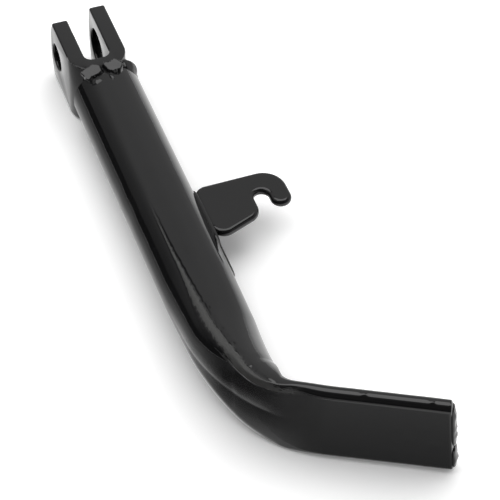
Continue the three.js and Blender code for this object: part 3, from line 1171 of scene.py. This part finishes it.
@dataclass
class YokeWeld:
    """The weld run round the joint of yoke and tube, in four passes."""

    tube: PressedTube
    yoke: Yoke
    fillet: float = 1.7
    first_y: float = -32.0
    last_y: float = -14.6
    step: float = 0.25
    columns: int = 360
    sink: float = 0.07
    depth: float = 2.0
    flush_y: float = -18.9
    search_start: float = 18.0
    search_end: float = 8.0
    search_steps: int = 160
    search_pace: float = 0.7
    fillet_shows: tuple[float, float] = (0.05, 0.6)
    fillet_wave: Ripple = Ripple(height=0.12, period=3.0, seed=11)
    rim_across: Ripple = Ripple(height=0.14, period=4.0, seed=31)
    rim_along: Ripple = Ripple(height=0.16, period=3.4, seed=32)
    top_wave: Ripple = Ripple(height=0.04, period=2.4, seed=33)
    rim: float = 1.08
    dome: float = 0.12
    least_lean: float = 0.7
    lump_blend: float = 0.35
    lump_depth: float = 1.0
    # Name, first and last angle of each pass, in degrees round the tube.
    passes: tuple[tuple[str, int, int], ...] = (
        ("right", -50, 50), ("top", 50, 130), ("left", 130, 230), ("bottom", 230, 310),
    )
    lumps: tuple[WeldLump, ...] = (
        WeldLump(angle=113, y=-24.7, across=4.1, along=2.9, rise=1.8, slope=0.28, facing=106),
        WeldLump(angle=80, y=-25.2, across=3.7, along=2.8, rise=1.9, slope=0.28, facing=86),
        WeldLump(angle=87, y=-29.2, across=0.8, along=1.7, rise=0.6, slope=0.15),
        WeldLump(angle=114, y=-29.2, across=2.6, along=0.9, rise=0.4, slope=0.3),
        WeldLump(angle=40, y=-22.8, across=7.0, along=4.3, rise=1.0, slope=0.4, crown=0.4,
                 ragged=0.2),
        WeldLump(angle=5, y=-20.4, across=9.5, along=5.6, rise=0.3, slope=0.02, crown=0.4,
                 ragged=0.1),
    )

    def joint_distance(self, x: np.ndarray, y: np.ndarray, z: np.ndarray) -> np.ndarray:
        """Measures to yoke and tube with the weld's fillet between them.

        Args:
            x: First coordinate on the leg.
            y: Second coordinate.
            z: Third coordinate.

        Returns:
            Signed distances, which are negative inside.
        """
        tube = self.tube_distance(x, y, z)
        yoke = self.yoke_distance(x, y, z)
        mix = np.clip(0.5 + 0.5 * (yoke - tube) / self.fillet, 0, 1)
        return yoke + (tube - yoke) * mix - self.fillet * mix * (1 - mix)

    def tube_distance(self, x: np.ndarray, y: np.ndarray, z: np.ndarray) -> np.ndarray:
        """Measures to the tube, whose signed distances are negative inside."""
        return np.maximum(np.hypot(x, z) - self.tube.radius, y - self.tube.cut_end)

    def yoke_distance(self, x: np.ndarray, y: np.ndarray, z: np.ndarray) -> np.ndarray:
        """Measures to the yoke without its slot.

        Args:
            x: First coordinate on the leg.
            y: Second coordinate.
            z: Third coordinate.

        Returns:
            Signed distances, which are negative inside.
        """
        half = self.yoke.gap / 2 + self.yoke.thickness
        bend = self.yoke.bend + self.yoke.thickness
        back = -self.yoke.slot_depth - self.yoke.thickness
        side = np.abs(x - self.yoke.offset) - (half - bend)
        behind = (back + bend) - y
        plan = np.hypot(np.maximum(side, 0), np.maximum(behind, 0)) - bend
        plan = np.where(behind < 0, side - bend, plan)
        plan = np.where((side < 0) & (behind >= 0), behind - bend, plan)
        tall = np.abs(z) - self.yoke.width / 2
        outside = np.hypot(np.maximum(plan, 0), np.maximum(tall, 0))
        return outside + np.minimum(np.maximum(plan, tall), 0)

    def surface(self, distance: Callable, angle: np.ndarray, y: np.ndarray) -> np.ndarray:
        """Finds the outermost radius at which a distance field is zero.

        Args:
            distance: The field, as a function of x, y and z.
            angle: Angles round the tube's axis, in radians.
            y: Places along it.

        Returns:
            A radius for each angle and place.
        """
        radius = np.full(angle.shape, self.search_start)
        for _ in range(self.search_steps):
            gap = distance(radius * np.cos(angle), y, radius * np.sin(angle))
            radius = np.maximum(radius - np.maximum(gap, 0) * self.search_pace, self.search_end)
        return radius

    def heights(self) -> tuple[np.ndarray, np.ndarray, np.ndarray]:
        """Lays the weld's surface over the joint.

        Returns:
            Angles and y of the grid, and the weld's radius at each place.
        """
        rows = round((self.last_y - self.first_y) / self.step) + 1
        y, angle = np.meshgrid(np.linspace(self.first_y, self.last_y, rows),
                               np.radians(np.arange(self.columns + 1)), indexing="ij")
        plain = self.surface(lambda a, b, c: np.minimum(self.tube_distance(a, b, c),
                                                        self.yoke_distance(a, b, c)), angle, y)
        smooth = self.surface(self.joint_distance, angle, y)
        added = smoothstep(*self.fillet_shows, smooth - plain)
        arc_length = self.tube.radius * angle
        smooth = smooth + added * self.fillet_wave.over(arc_length, y)
        for lump in self.lumps:
            smooth = soft_max(smooth, self.lump_height(lump, angle, y, plain), self.lump_blend)
        return angle, y, smooth - self.sink

    def lump_height(self, lump: WeldLump, angle: np.ndarray, y: np.ndarray,
                    plain: np.ndarray) -> np.ndarray:
        """Works out one lump's surface.

        Args:
            lump: The lump.
            angle: Angles round the tube's axis, in radians.
            y: Places along it.
            plain: Radius of the bare steel at each.

        Returns:
            The lump's radius at each place, which is below the steel where there is no lump.
        """
        arc_length = self.tube.radius * angle
        turn = (angle - math.radians(lump.angle) + math.pi) % (2 * math.pi) - math.pi
        u = self.tube.radius * turn / lump.across
        v = (y - lump.y) / lump.along
        u = u + lump.ragged * self.rim_across.over(arc_length, y)
        v = v + lump.ragged * self.rim_along.over(arc_length, y)
        far = np.abs(u ** 3) + np.abs(v ** 3)
        mask = 1 - smoothstep(lump.crown, self.rim, np.cbrt(far))
        top = self.tube.radius + lump.rise + lump.slope * (y - lump.y)
        top = top - self.dome * (u * u + v * v) + self.top_wave.over(arc_length, y)
        if lump.facing is not None:
            facing = math.radians(lump.facing)
            lean = np.maximum(np.cos(angle - facing), self.least_lean)
            top = top * math.cos(math.radians(lump.angle) - facing) / lean
        return plain - self.lump_depth + (top - plain + self.lump_depth) * mask

    def build(self, bench: Bench, finish: bpy.types.Material) -> None:
        """Makes the four passes from one surface.

        Args:
            bench: The bench that finishes and places pieces.
            finish: The enamel.
        """
        angle, y, radius = self.heights()
        for name, low, high in self.passes:
            picked = [d % 360 for d in range(low, high + 1)]
            limit = self.flush_y if name in ("top", "bottom") else self.last_y
            rows = np.flatnonzero(y[:, 0] <= limit + self.step / 100)
            here = np.ix_(rows, picked)
            a, h, r = angle[here], y[here], radius[here]
            outside = np.stack([r * np.cos(a), h, r * np.sin(a)], axis=2)
            deep = np.minimum(r, self.tube.radius) - self.depth
            inside = np.stack([deep * np.cos(a), h, deep * np.sin(a)], axis=2)
            points, faces = slab(outside, inside)
            bench.piece(f"painted_yoke_weld_{name}", points, faces, f"yoke_weld_{name}",
                        finish)


def slab(outside: np.ndarray, inside: np.ndarray) -> tuple[np.ndarray, list]:
    """Closes two matching grids of points into one solid.

    Args:
        outside: Rows of points of one face.
        inside: The same rows of the other face.

    Returns:
        Points and faces.
    """
    rows, columns = outside.shape[:2]
    size = rows * columns
    points = np.concatenate([outside.reshape(-1, 3), inside.reshape(-1, 3)])
    faces = strip_faces(rows, columns, closed=False)
    faces += strip_faces(rows, columns, first=size, closed=False)
    rim = list(range(columns)) + [r * columns + columns - 1 for r in range(1, rows)]
    rim += [(rows - 1) * columns + c for c in range(columns - 2, -1, -1)]
    rim += [r * columns for r in range(rows - 2, 0, -1)]
    for i, here in enumerate(rim):
        after = rim[(i + 1) % len(rim)]
        faces.append((here, after, size + after, size + here))
    return points, faces


@dataclass
class HookWeld:
    """A fillet between the tube and one face of the hook plate."""

    tube: PressedTube
    hook: SpringHook
    start: float = -82.4
    end: float = -107.0
    tail: float = -124.0
    tail_radius: float = 0.45
    radius: float = 1.0
    fade: tuple[float, float] = (-4.0, 3.0)
    end_power: int = 8
    end_least: float = 0.002
    off_tube: float = 0.1
    off_plate: float = 0.35
    columns: int = 24
    step: float = 0.35

    def build(self, bench: Bench, finish: bpy.types.Material) -> None:
        """Makes the upper and the lower fillet.

        Args:
            bench: The bench that finishes and places pieces.
            finish: The enamel.
        """
        rows = round((self.start - self.tail) / self.step) + 1
        turn = np.linspace(0, 2 * math.pi, self.columns, endpoint=False)
        for name, face in (("upper", 1), ("lower", -1)):
            rings = []
            for k in range(rows):
                share = k / (rows - 1)
                y = self.start + (self.tail - self.start) * k / (rows - 1)
                full = float(smoothstep(self.end + self.fade[0], self.end + self.fade[1], y))
                size = self.tail_radius + (self.radius - self.tail_radius) * full
                size *= math.sqrt(max(1 - (2 * share - 1) ** self.end_power, self.end_least))
                centre_z = face * (self.hook.plate / 2 + self.off_plate)
                rings.append(np.stack([self.tube.radius + self.off_tube + size * np.cos(turn),
                                       np.full(self.columns, y),
                                       centre_z + face * size * np.sin(turn)], axis=1))
            points = np.array(rings).reshape(-1, 3)
            faces = strip_faces(rows, self.columns)
            faces += [tuple(range(self.columns)),
                      tuple(range((rows - 1) * self.columns, rows * self.columns))]
            bench.piece(f"painted_hook_weld_{name}", points, faces, f"hook_weld_{name}",
                        finish)


@dataclass
class FootEndWeld:
    """Two lumps of weld that close the pressed end of the tube."""

    tube: PressedTube
    proud: float = 1.2
    split: float = -4.5
    gap: float = 0.8
    crown_power: float = 0.6
    side_power: float = 0.5
    upper_wave: Ripple = Ripple(height=0.25, period=4.0, seed=21)
    lower_wave: Ripple = Ripple(height=0.25, period=4.0, seed=22)
    rows: int = 28
    columns: int = 40

    def build(self, bench: Bench, finish: bpy.types.Material) -> None:
        """Makes the upper and the lower lump.

        Args:
            bench: The bench that finishes and places pieces.
            finish: The enamel.
        """
        edge = self.tube.foot_height / 2 - self.tube.foot_thickness / 4
        spans = (("upper", self.split + self.gap / 2, edge, self.upper_wave),
                 ("lower", -edge, self.split - self.gap / 2, self.lower_wave))
        for name, low, high, wave in spans:
            points, faces = self.lump(low, high, wave)
            bench.piece(f"painted_foot_end_weld_{name}", points, faces,
                        f"foot_end_weld_{name}", finish)

    def lump(self, low: float, high: float, wave: Ripple) -> tuple[np.ndarray, list]:
        """Shapes one lump between two heights on the cut face.

        Args:
            low: Where the lump begins.
            high: Where it ends.
            wave: How far its surface wanders.

        Returns:
            Points and faces.
        """
        tube = self.tube
        polar = np.linspace(0, math.pi, self.rows + 1)[1:-1]
        turn = np.linspace(0, 2 * math.pi, self.columns, endpoint=False)
        p, t = np.meshgrid(polar, turn, indexing="ij")
        z = (high + low) / 2 + (high - low) / 2 * np.cos(p)
        ahead = self.proud * np.sin(p) ** self.crown_power * np.cos(t)
        ahead *= 1 + wave.over(z, 2 * t)
        side = tube.foot_thickness / 2 * np.sin(p) ** self.side_power * np.sin(t)
        along = tube.foot_length - z * tube.cut_slant / tube.foot_height + ahead
        plan = (tube.foot_corner + along[..., None] * tube.foot_along
                + side[..., None] * tube.foot_side)
        grid = np.concatenate([plan, z[..., None]], axis=2)
        ends = []
        for level in (high, low):
            reach = tube.foot_length - level * tube.cut_slant / tube.foot_height
            ends.append([*(tube.foot_corner + reach * tube.foot_along), level])
        points = np.concatenate([grid.reshape(-1, 3), np.array(ends)])
        faces = strip_faces(len(polar), self.columns)
        top = len(points) - 2
        last = (len(polar) - 1) * self.columns
        for i in range(self.columns):
            j = (i + 1) % self.columns
            faces.append((i, j, top))
            faces.append((last + i, last + j, top + 1))
        return points, faces


# ------------------------------------------------------------------ the studio


@dataclass
class Studio:
    """White sweep, overhead softbox, glowing cards and sheets that paint reflections and shade, seen
    only in reflections, and the camera.
    """

    axes: Matrix
    tube: PressedTube
    aim: tuple[float, float, float] = (0.0, -100.0, 0.0)
    heading_deg: float = 22.40
    elevation_deg: float = 48.40
    roll_deg: float = 2.33
    distance: float = 663.0
    slide: tuple[float, float] = (25.5, -3.7)
    lens: float = 139.9
    far_clip: float = 100.0
    floor_radius: float = 4.0
    floor_steps: int = 72
    paper: str = "#f4f4f4"
    paper_glow: float = 0.56
    shadow_reach: float = 0.034
    shadow_power: float = 1.3
    shadow_samples: int = 16
    softbox_height: float = 1.3
    softbox_sides: tuple[float, float, float, float] = (-0.75, 0.75, -0.25, 0.80)
    softbox_strength: float = 2.6
    ring_radius: float = 0.75
    ring_steps: int = 48
    ring_levels: tuple[float, ...] = (0.0, 0.05, 0.17, 0.32, 0.46, 0.66)
    ring_covers: tuple[float, ...] = (1.0, 1.0, 1.0, 1.0, 0.9, 0.0)
    sheet_lift: float = 0.0012
    foot_sheet_lift: float = 0.0018
    bend_sheet_lift: float = 0.0024
    sheet_ends: tuple[float, float] = (-0.3, 0.35)
    foot_gap: float = 0.3
    bar_x: float = -0.098
    bar_ends: tuple[float, float] = (-0.2, 0.3)
    bar_heights: tuple[float, float] = (0.0025, 0.030)
    bar_strength: float = 0.05

    def camera(self) -> None:
        """Places the camera and makes it the scene's camera."""
        angles = (self.heading_deg, self.elevation_deg, self.roll_deg)
        heading, rise, roll = map(math.radians, angles)
        level = Vector((math.sin(heading), math.cos(heading), 0))
        right = Vector((math.cos(heading), -math.sin(heading), 0))
        forward = level * math.cos(rise) - Vector((0, 0, math.sin(rise)))
        upward = level * math.sin(rise) + Vector((0, 0, math.cos(rise)))
        x_axis = right * math.cos(roll) + upward * math.sin(roll)
        y_axis = upward * math.cos(roll) - right * math.sin(roll)
        at = Vector(self.aim) - forward * self.distance
        at += x_axis * self.slide[0] + y_axis * self.slide[1]
        turn = self.axes.to_3x3().normalized()
        data = bpy.data.cameras.new("studio_camera")
        data.lens = self.lens
        data.clip_end = self.far_clip
        camera = bpy.data.objects.new("studio_camera", data)
        bpy.context.scene.collection.objects.link(camera)
        facing = Matrix((turn @ x_axis, turn @ y_axis, turn @ -forward)).transposed()
        camera.matrix_world = Matrix.Translation(self.axes @ at) @ facing.to_4x4()
        bpy.context.scene.camera = camera

    def floor(self) -> None:
        """Lays a round sheet of matt white paper, which also glows a little where it is open.
        Its glow fades near the stand by ambient occlusion: a painted contact shadow.
        """
        last = 360 - 360 / self.floor_steps
        rim = arc((0, 0), self.floor_radius, 0, last, self.floor_steps - 1)
        ring = [(x, y, 0) for x, y in rim]
        obj = mesh_object("paper_sweep", ring, [tuple(range(len(ring)))])
        material, tree = new_material("white_paper")
        rays = add_node(tree, "LightPath").outputs
        shown = rays["Is Camera Ray"]
        for kind in ("Is Glossy Ray", "Is Transmission Ray"):
            shown = add_node(tree, "Math", {".operation": "MAXIMUM"},
                             {0: shown, 1: rays[kind]}).outputs[0]
        # The glow fades near the stand: a painted contact shadow.
        open_air = add_node(tree, "AmbientOcclusion",
                            {".samples": self.shadow_samples,
                             "Distance": self.shadow_reach}).outputs["AO"]
        share = add_node(tree, "Math", {".operation": "POWER", 1: self.shadow_power},
                         {0: open_air}).outputs[0]
        scaled = add_node(tree, "Math", {".operation": "MULTIPLY", 1: self.paper_glow},
                          {0: share}).outputs[0]
        lift = add_node(tree, "Math", {".operation": "MULTIPLY"}, {0: shown, 1: scaled})
        matt = add_node(tree, "BsdfDiffuse", {"Color": linear(self.paper)})
        glow = add_node(tree, "Emission", {"Color": (1, 1, 1, 1)}, {"Strength": lift.outputs[0]})
        both = add_node(tree, "AddShader", {}, {0: matt.outputs[0], 1: glow.outputs[0]})
        add_node(tree, "OutputMaterial", links={"Surface": both.outputs[0]})
        obj.data.materials.append(material)

    def softbox(self) -> None:
        """Hangs the overhead softbox, which only lights and reflects."""
        left, right, front, back = self.softbox_sides
        corners = [(x, y, self.softbox_height)
                   for x, y in ((left, front), (left, back), (right, back), (right, front))]
        obj = mesh_object("softbox", corners, [(0, 1, 2, 3)])
        material, tree = new_material("softbox")
        glow = add_node(tree, "Emission", {"Color": (1, 1, 1, 1),
                                           "Strength": self.softbox_strength})
        add_node(tree, "OutputMaterial", links={"Surface": glow.outputs[0]})
        obj.data.materials.append(material)
        obj.visible_camera = False

    def paint_room_reflection(self) -> None:
        """Stands a ring of glowing cards round the table, dark on its left and in front.

        Only reflections show it: a painted reflection of a room.
        """
        points, shade, cover = [], [], []
        # Painted reflection tones: dark on the left and in front, pale on the right and behind.
        tones = {"left": (0.06, 0.08, 0.12, 0.17, 0.25, 0.5),
                 "right": (0.56, 0.58, 0.6, 0.64, 0.68, 0.7),
                 "front": (0.06, 0.06, 0.08, 0.1, 0.12, 0.12),
                 "back": (0.5, 0.52, 0.55, 0.6, 0.68, 0.7)}
        for row, z in enumerate(self.ring_levels):
            for k in range(self.ring_steps):
                a = 2 * math.pi * k / self.ring_steps
                points.append((self.ring_radius * math.cos(a), self.ring_radius * math.sin(a), z))
                weights = {"right": max(math.cos(a), 0) ** 2, "left": max(-math.cos(a), 0) ** 2,
                           "back": max(math.sin(a), 0) ** 4, "front": max(-math.sin(a), 0) ** 2}
                whole = sum(weights.values())
                shade.append(sum(weights[w] * tones[w][row] for w in weights) / whole)
                cover.append(self.ring_covers[row])
        faces = strip_faces(len(self.ring_levels), self.ring_steps)
        self.painted_reflection_card("painted_reflection_ring", points, faces, shade, cover)

    def painted_reflection_card(self, name: str, points: Sequence[tuple], faces: Sequence[tuple],
             shade: Sequence[float], cover: Sequence[float]) -> None:
        """Adds a glowing card whose tone and density change over it, seen only in reflections: a
        painted reflection.

        Args:
            name: Name of the card.
            points: Its corners, in metres.
            faces: Corner indices of its faces.
            shade: Brightness at each corner, where 1 is white.
            cover: Density at each corner, where 0 is clear.
        """
        obj = mesh_object(name, points, faces)
        for key, values in (("tone", shade), ("cover", cover)):
            obj.data.attributes.new(key, "FLOAT", "POINT").data.foreach_set("value", list(values))
        material, tree = new_material(name + "_painted_glow")
        tone = add_node(tree, "Attribute", {".attribute_name": "tone"})
        glow = add_node(tree, "Emission", {"Color": (1, 1, 1, 1)},
                        {"Strength": tone.outputs["Fac"]})
        density = add_node(tree, "Attribute", {".attribute_name": "cover"})
        clear = add_node(tree, "BsdfTransparent")
        shown = add_node(tree, "MixShader", {}, {"Fac": density.outputs["Fac"],
                                                 1: clear.outputs[0], 2: glow.outputs[0]})
        add_node(tree, "OutputMaterial", links={"Surface": shown.outputs[0]})
        self.only_in_reflections(obj, material)

    def only_in_reflections(self, obj: bpy.types.Object, material: bpy.types.Material) -> None:
        """Dresses a card and hides it from all but glossy rays.

        Args:
            obj: The card.
            material: Its material.
        """
        obj.data.materials.append(material)
        for kind in ("camera", "diffuse", "transmission", "volume_scatter", "shadow"):
            setattr(obj, "visible_" + kind, False)

    def painted_floor_reflections(self) -> None:
        """Lays glowing graded sheets on the paper, seen only in reflections: left, right, at the
        foot and round the bend.
        They paint shade into the floor's reflections, darker towards the bar on the left and further
        out on the right.
        """
        runs = {"left_painted_reflection": ((-0.030, 0.8, 0.0), (-0.052, 0.5, 0.9), (-0.098, 0.22, 1.0)),
                "right_painted_reflection": ((0.05, 0.9, 0.0), (0.16, 0.8, 0.7), (0.74, 0.58, 1.0))}
        for name, stops in runs.items():
            points = [(x, y, self.sheet_lift) for x, _, _ in stops for y in self.sheet_ends]
            shade = [tone for _, tone, _ in stops for _ in range(2)]
            cover = [density for _, _, density in stops for _ in range(2)]
            self.painted_reflection_card(name, points, [(0, 1, 3, 2), (2, 3, 5, 4)], shade, cover)
        self.painted_foot_shadow_sheet()
        self.painted_bend_reflection_sheet()

    def painted_foot_shadow_sheet(self) -> None:
        """Lays a glowing sheet, seen only in reflections, that darkens towards the foot's outer
        face: a painted shadow of the foot.
        """
        tube = self.tube
        corner = tube.foot_corner - tube.foot_side * (tube.foot_thickness / 2 + self.foot_gap)
        runs = ((-26, 0.0), (-4, 0.55), (16, 1.0), (tube.foot_length, 1.0),
                (tube.foot_length + 14, 0.0))
        depths = ((0.0, 0.24, 1.0), (14.0, 0.36, 1.0), (27.0, 0.5, 1.0), (60.0, 0.85, 0.0))
        edge = [(corner + tube.foot_along * reach, tube.foot_side, share)
                for reach, share in runs]
        self.painted_reflection_sheet("painted_foot_shadow_sheet", edge, depths, self.foot_sheet_lift)

    def painted_bend_reflection_sheet(self) -> None:
        """Lays a glowing sheet round the outside of the bend, seen only in reflections: a painted
        dark reflection, bright next to the leg.
        """
        stations, spine, radius, _, shift = self.tube.sections()
        runs = ((108, 0.0), (124, 0.5), (136, 1.0), (146, 1.0), (153, 0.9), (159, 0.55),
                (167, 0.15), (174, 0.0))
        depths = ((-9.0, 1.1, 1.0), (0.1, 1.0, 1.0), (3.0, 0.58, 1.0), (6.5, 0.24, 1.0),
                  (11.0, 0.08, 1.0), (48.0, 0.05, 1.0), (150.0, 0.05, 1.0), (420.0, 0.06, 0.9),
                  (700.0, 0.1, 0.6))
        edge = []
        for s, share in runs:
            nearest = int(np.argmin(np.abs(stations - s)))
            at, _, side = spine[nearest]
            edge.append((at - side * (radius[nearest] - shift[nearest]), side, share))
        self.painted_reflection_sheet("painted_bend_reflection_sheet", edge, depths, self.bend_sheet_lift)

    def painted_reflection_sheet(self, name: str, edge: Sequence[tuple], depths: Sequence[tuple],
                     lift: float) -> None:
        """Lays a glowing sheet along an edge of the leg, seen only in reflections, that paints shade
        into them.

        Args:
            name: Name of the sheet.
            edge: Points on the edge in millimetres on the leg, each with the direction into
                the leg and the sheet's density there.
            depths: Distances from the edge, each with its tone and density.
            lift: Height over the floor, in metres.
        """
        points, shade, cover = [], [], []
        for start, inward, share in edge:
            for depth, tone, density in depths:
                flat = start - inward * depth
                point = self.axes @ Vector((float(flat[0]), float(flat[1]), 0))
                points.append((point.x, point.y, lift))
                shade.append(tone)
                cover.append(density * share)
        faces = strip_faces(len(edge), len(depths), closed=False)
        self.painted_reflection_card(name, points, faces, shade, cover)

    def bar(self) -> None:
        """Lays a low dark bar beside the tube that glows faintly and is seen only in reflections: a
        painted dark reflection.
        """
        near, far = self.bar_ends
        low, high = self.bar_heights
        points = [(self.bar_x, y, z)
                  for y, z in ((near, low), (far, low), (far, high), (near, high))]
        obj = mesh_object("painted_dark_reflection_bar", points, [(0, 1, 2, 3)])
        material, tree = new_material("bar_painted_glow")
        glow = add_node(tree, "Emission", {"Color": (1, 1, 1, 1), "Strength": self.bar_strength})
        add_node(tree, "OutputMaterial", links={"Surface": glow.outputs[0]})
        self.only_in_reflections(obj, material)

    def world(self) -> None:
        """Sets the room: pale low down, a lit back wall and a dim front."""
        world = bpy.data.worlds.new("studio_room")
        bpy.context.scene.world = world
        world.use_nodes = True
        tree = world.node_tree
        tree.nodes.clear()
        way = add_node(tree, "TexCoord").outputs["Generated"]
        split = add_node(tree, "SeparateXYZ", links={"Vector": way}).outputs
        walls = {"Color2": ((0, 0.85), (10, 0.85), (14, 0.75), (51, 0.75), (53, 0.3), (57, 0.3),
                            (90, 0.35)),
                 "Color1": ((0, 0.85), (10, 0.85), (14, 0.12), (60, 0.12), (90, 0.3))}
        side = add_node(tree, "MapRange", {".interpolation_type": "SMOOTHSTEP", "From Min": -0.3,
                                           "From Max": 0.25}, {"Value": split["Y"]})
        room = {"Fac": side.outputs["Result"]}
        for key, stops in walls.items():
            shades = add_node(tree, "ValToRGB", {}, {"Fac": split["Z"]})
            marks = shades.color_ramp.elements
            while len(marks) < len(stops):
                marks.new(0.5)
            for mark, (elevation, _) in zip(marks, stops):
                mark.position = math.sin(math.radians(elevation))
            for mark, (_, tone) in zip(marks, stops):
                mark.color = (tone, tone, tone, 1)
            room[key] = shades.outputs["Color"]
        mix = add_node(tree, "MixRGB", {}, room)
        sky = add_node(tree, "Background", {"Strength": 1.0}, {"Color": mix.outputs["Color"]})
        add_node(tree, "OutputWorld", links={"Surface": sky.outputs[0]})

    def build(self) -> None:
        """Sets up everything but the camera."""
        self.floor()
        self.softbox()
        self.paint_room_reflection()
        self.painted_floor_reflections()
        self.bar()
        self.world()
        bpy.context.scene.view_settings.view_transform = "Standard"


# ------------------------------------------------------------------ main


def main() -> None:
    """Builds the studio and the side stand, piece by piece."""
    logging.basicConfig(level=logging.INFO, format="%(message)s")
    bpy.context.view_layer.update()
    axes = leg_axes(frame["record"])
    tube = PressedTube()
    studio = Studio(axes, tube)
    studio.camera()
    bench = Bench(axes)
    enamel = GlossBlackEnamel().material()
    weld_enamel = GlossBlackEnamel(name="enamel_pooled_on_weld", peel_height_mm=0.006,
                                   smudge_mm=9.0).material()
    yoke_enamel = GlossBlackEnamel(name="gloss_black_enamel_handled", smudge_roughness=0.2,
                                   smudge_mm=7.0, peel_mm=2.6, peel_height_mm=0.011).material()
    yoke = Yoke()
    hook = SpringHook()
    tube.build(bench, enamel)
    yoke.build(bench, yoke_enamel)
    hook.build(bench, enamel)
    YokeWeld(tube, yoke).build(bench, weld_enamel)
    HookWeld(tube, hook).build(bench, weld_enamel)
    FootEndWeld(tube).build(bench, weld_enamel)
    studio.build()


if __name__ == "__main__":
    main()
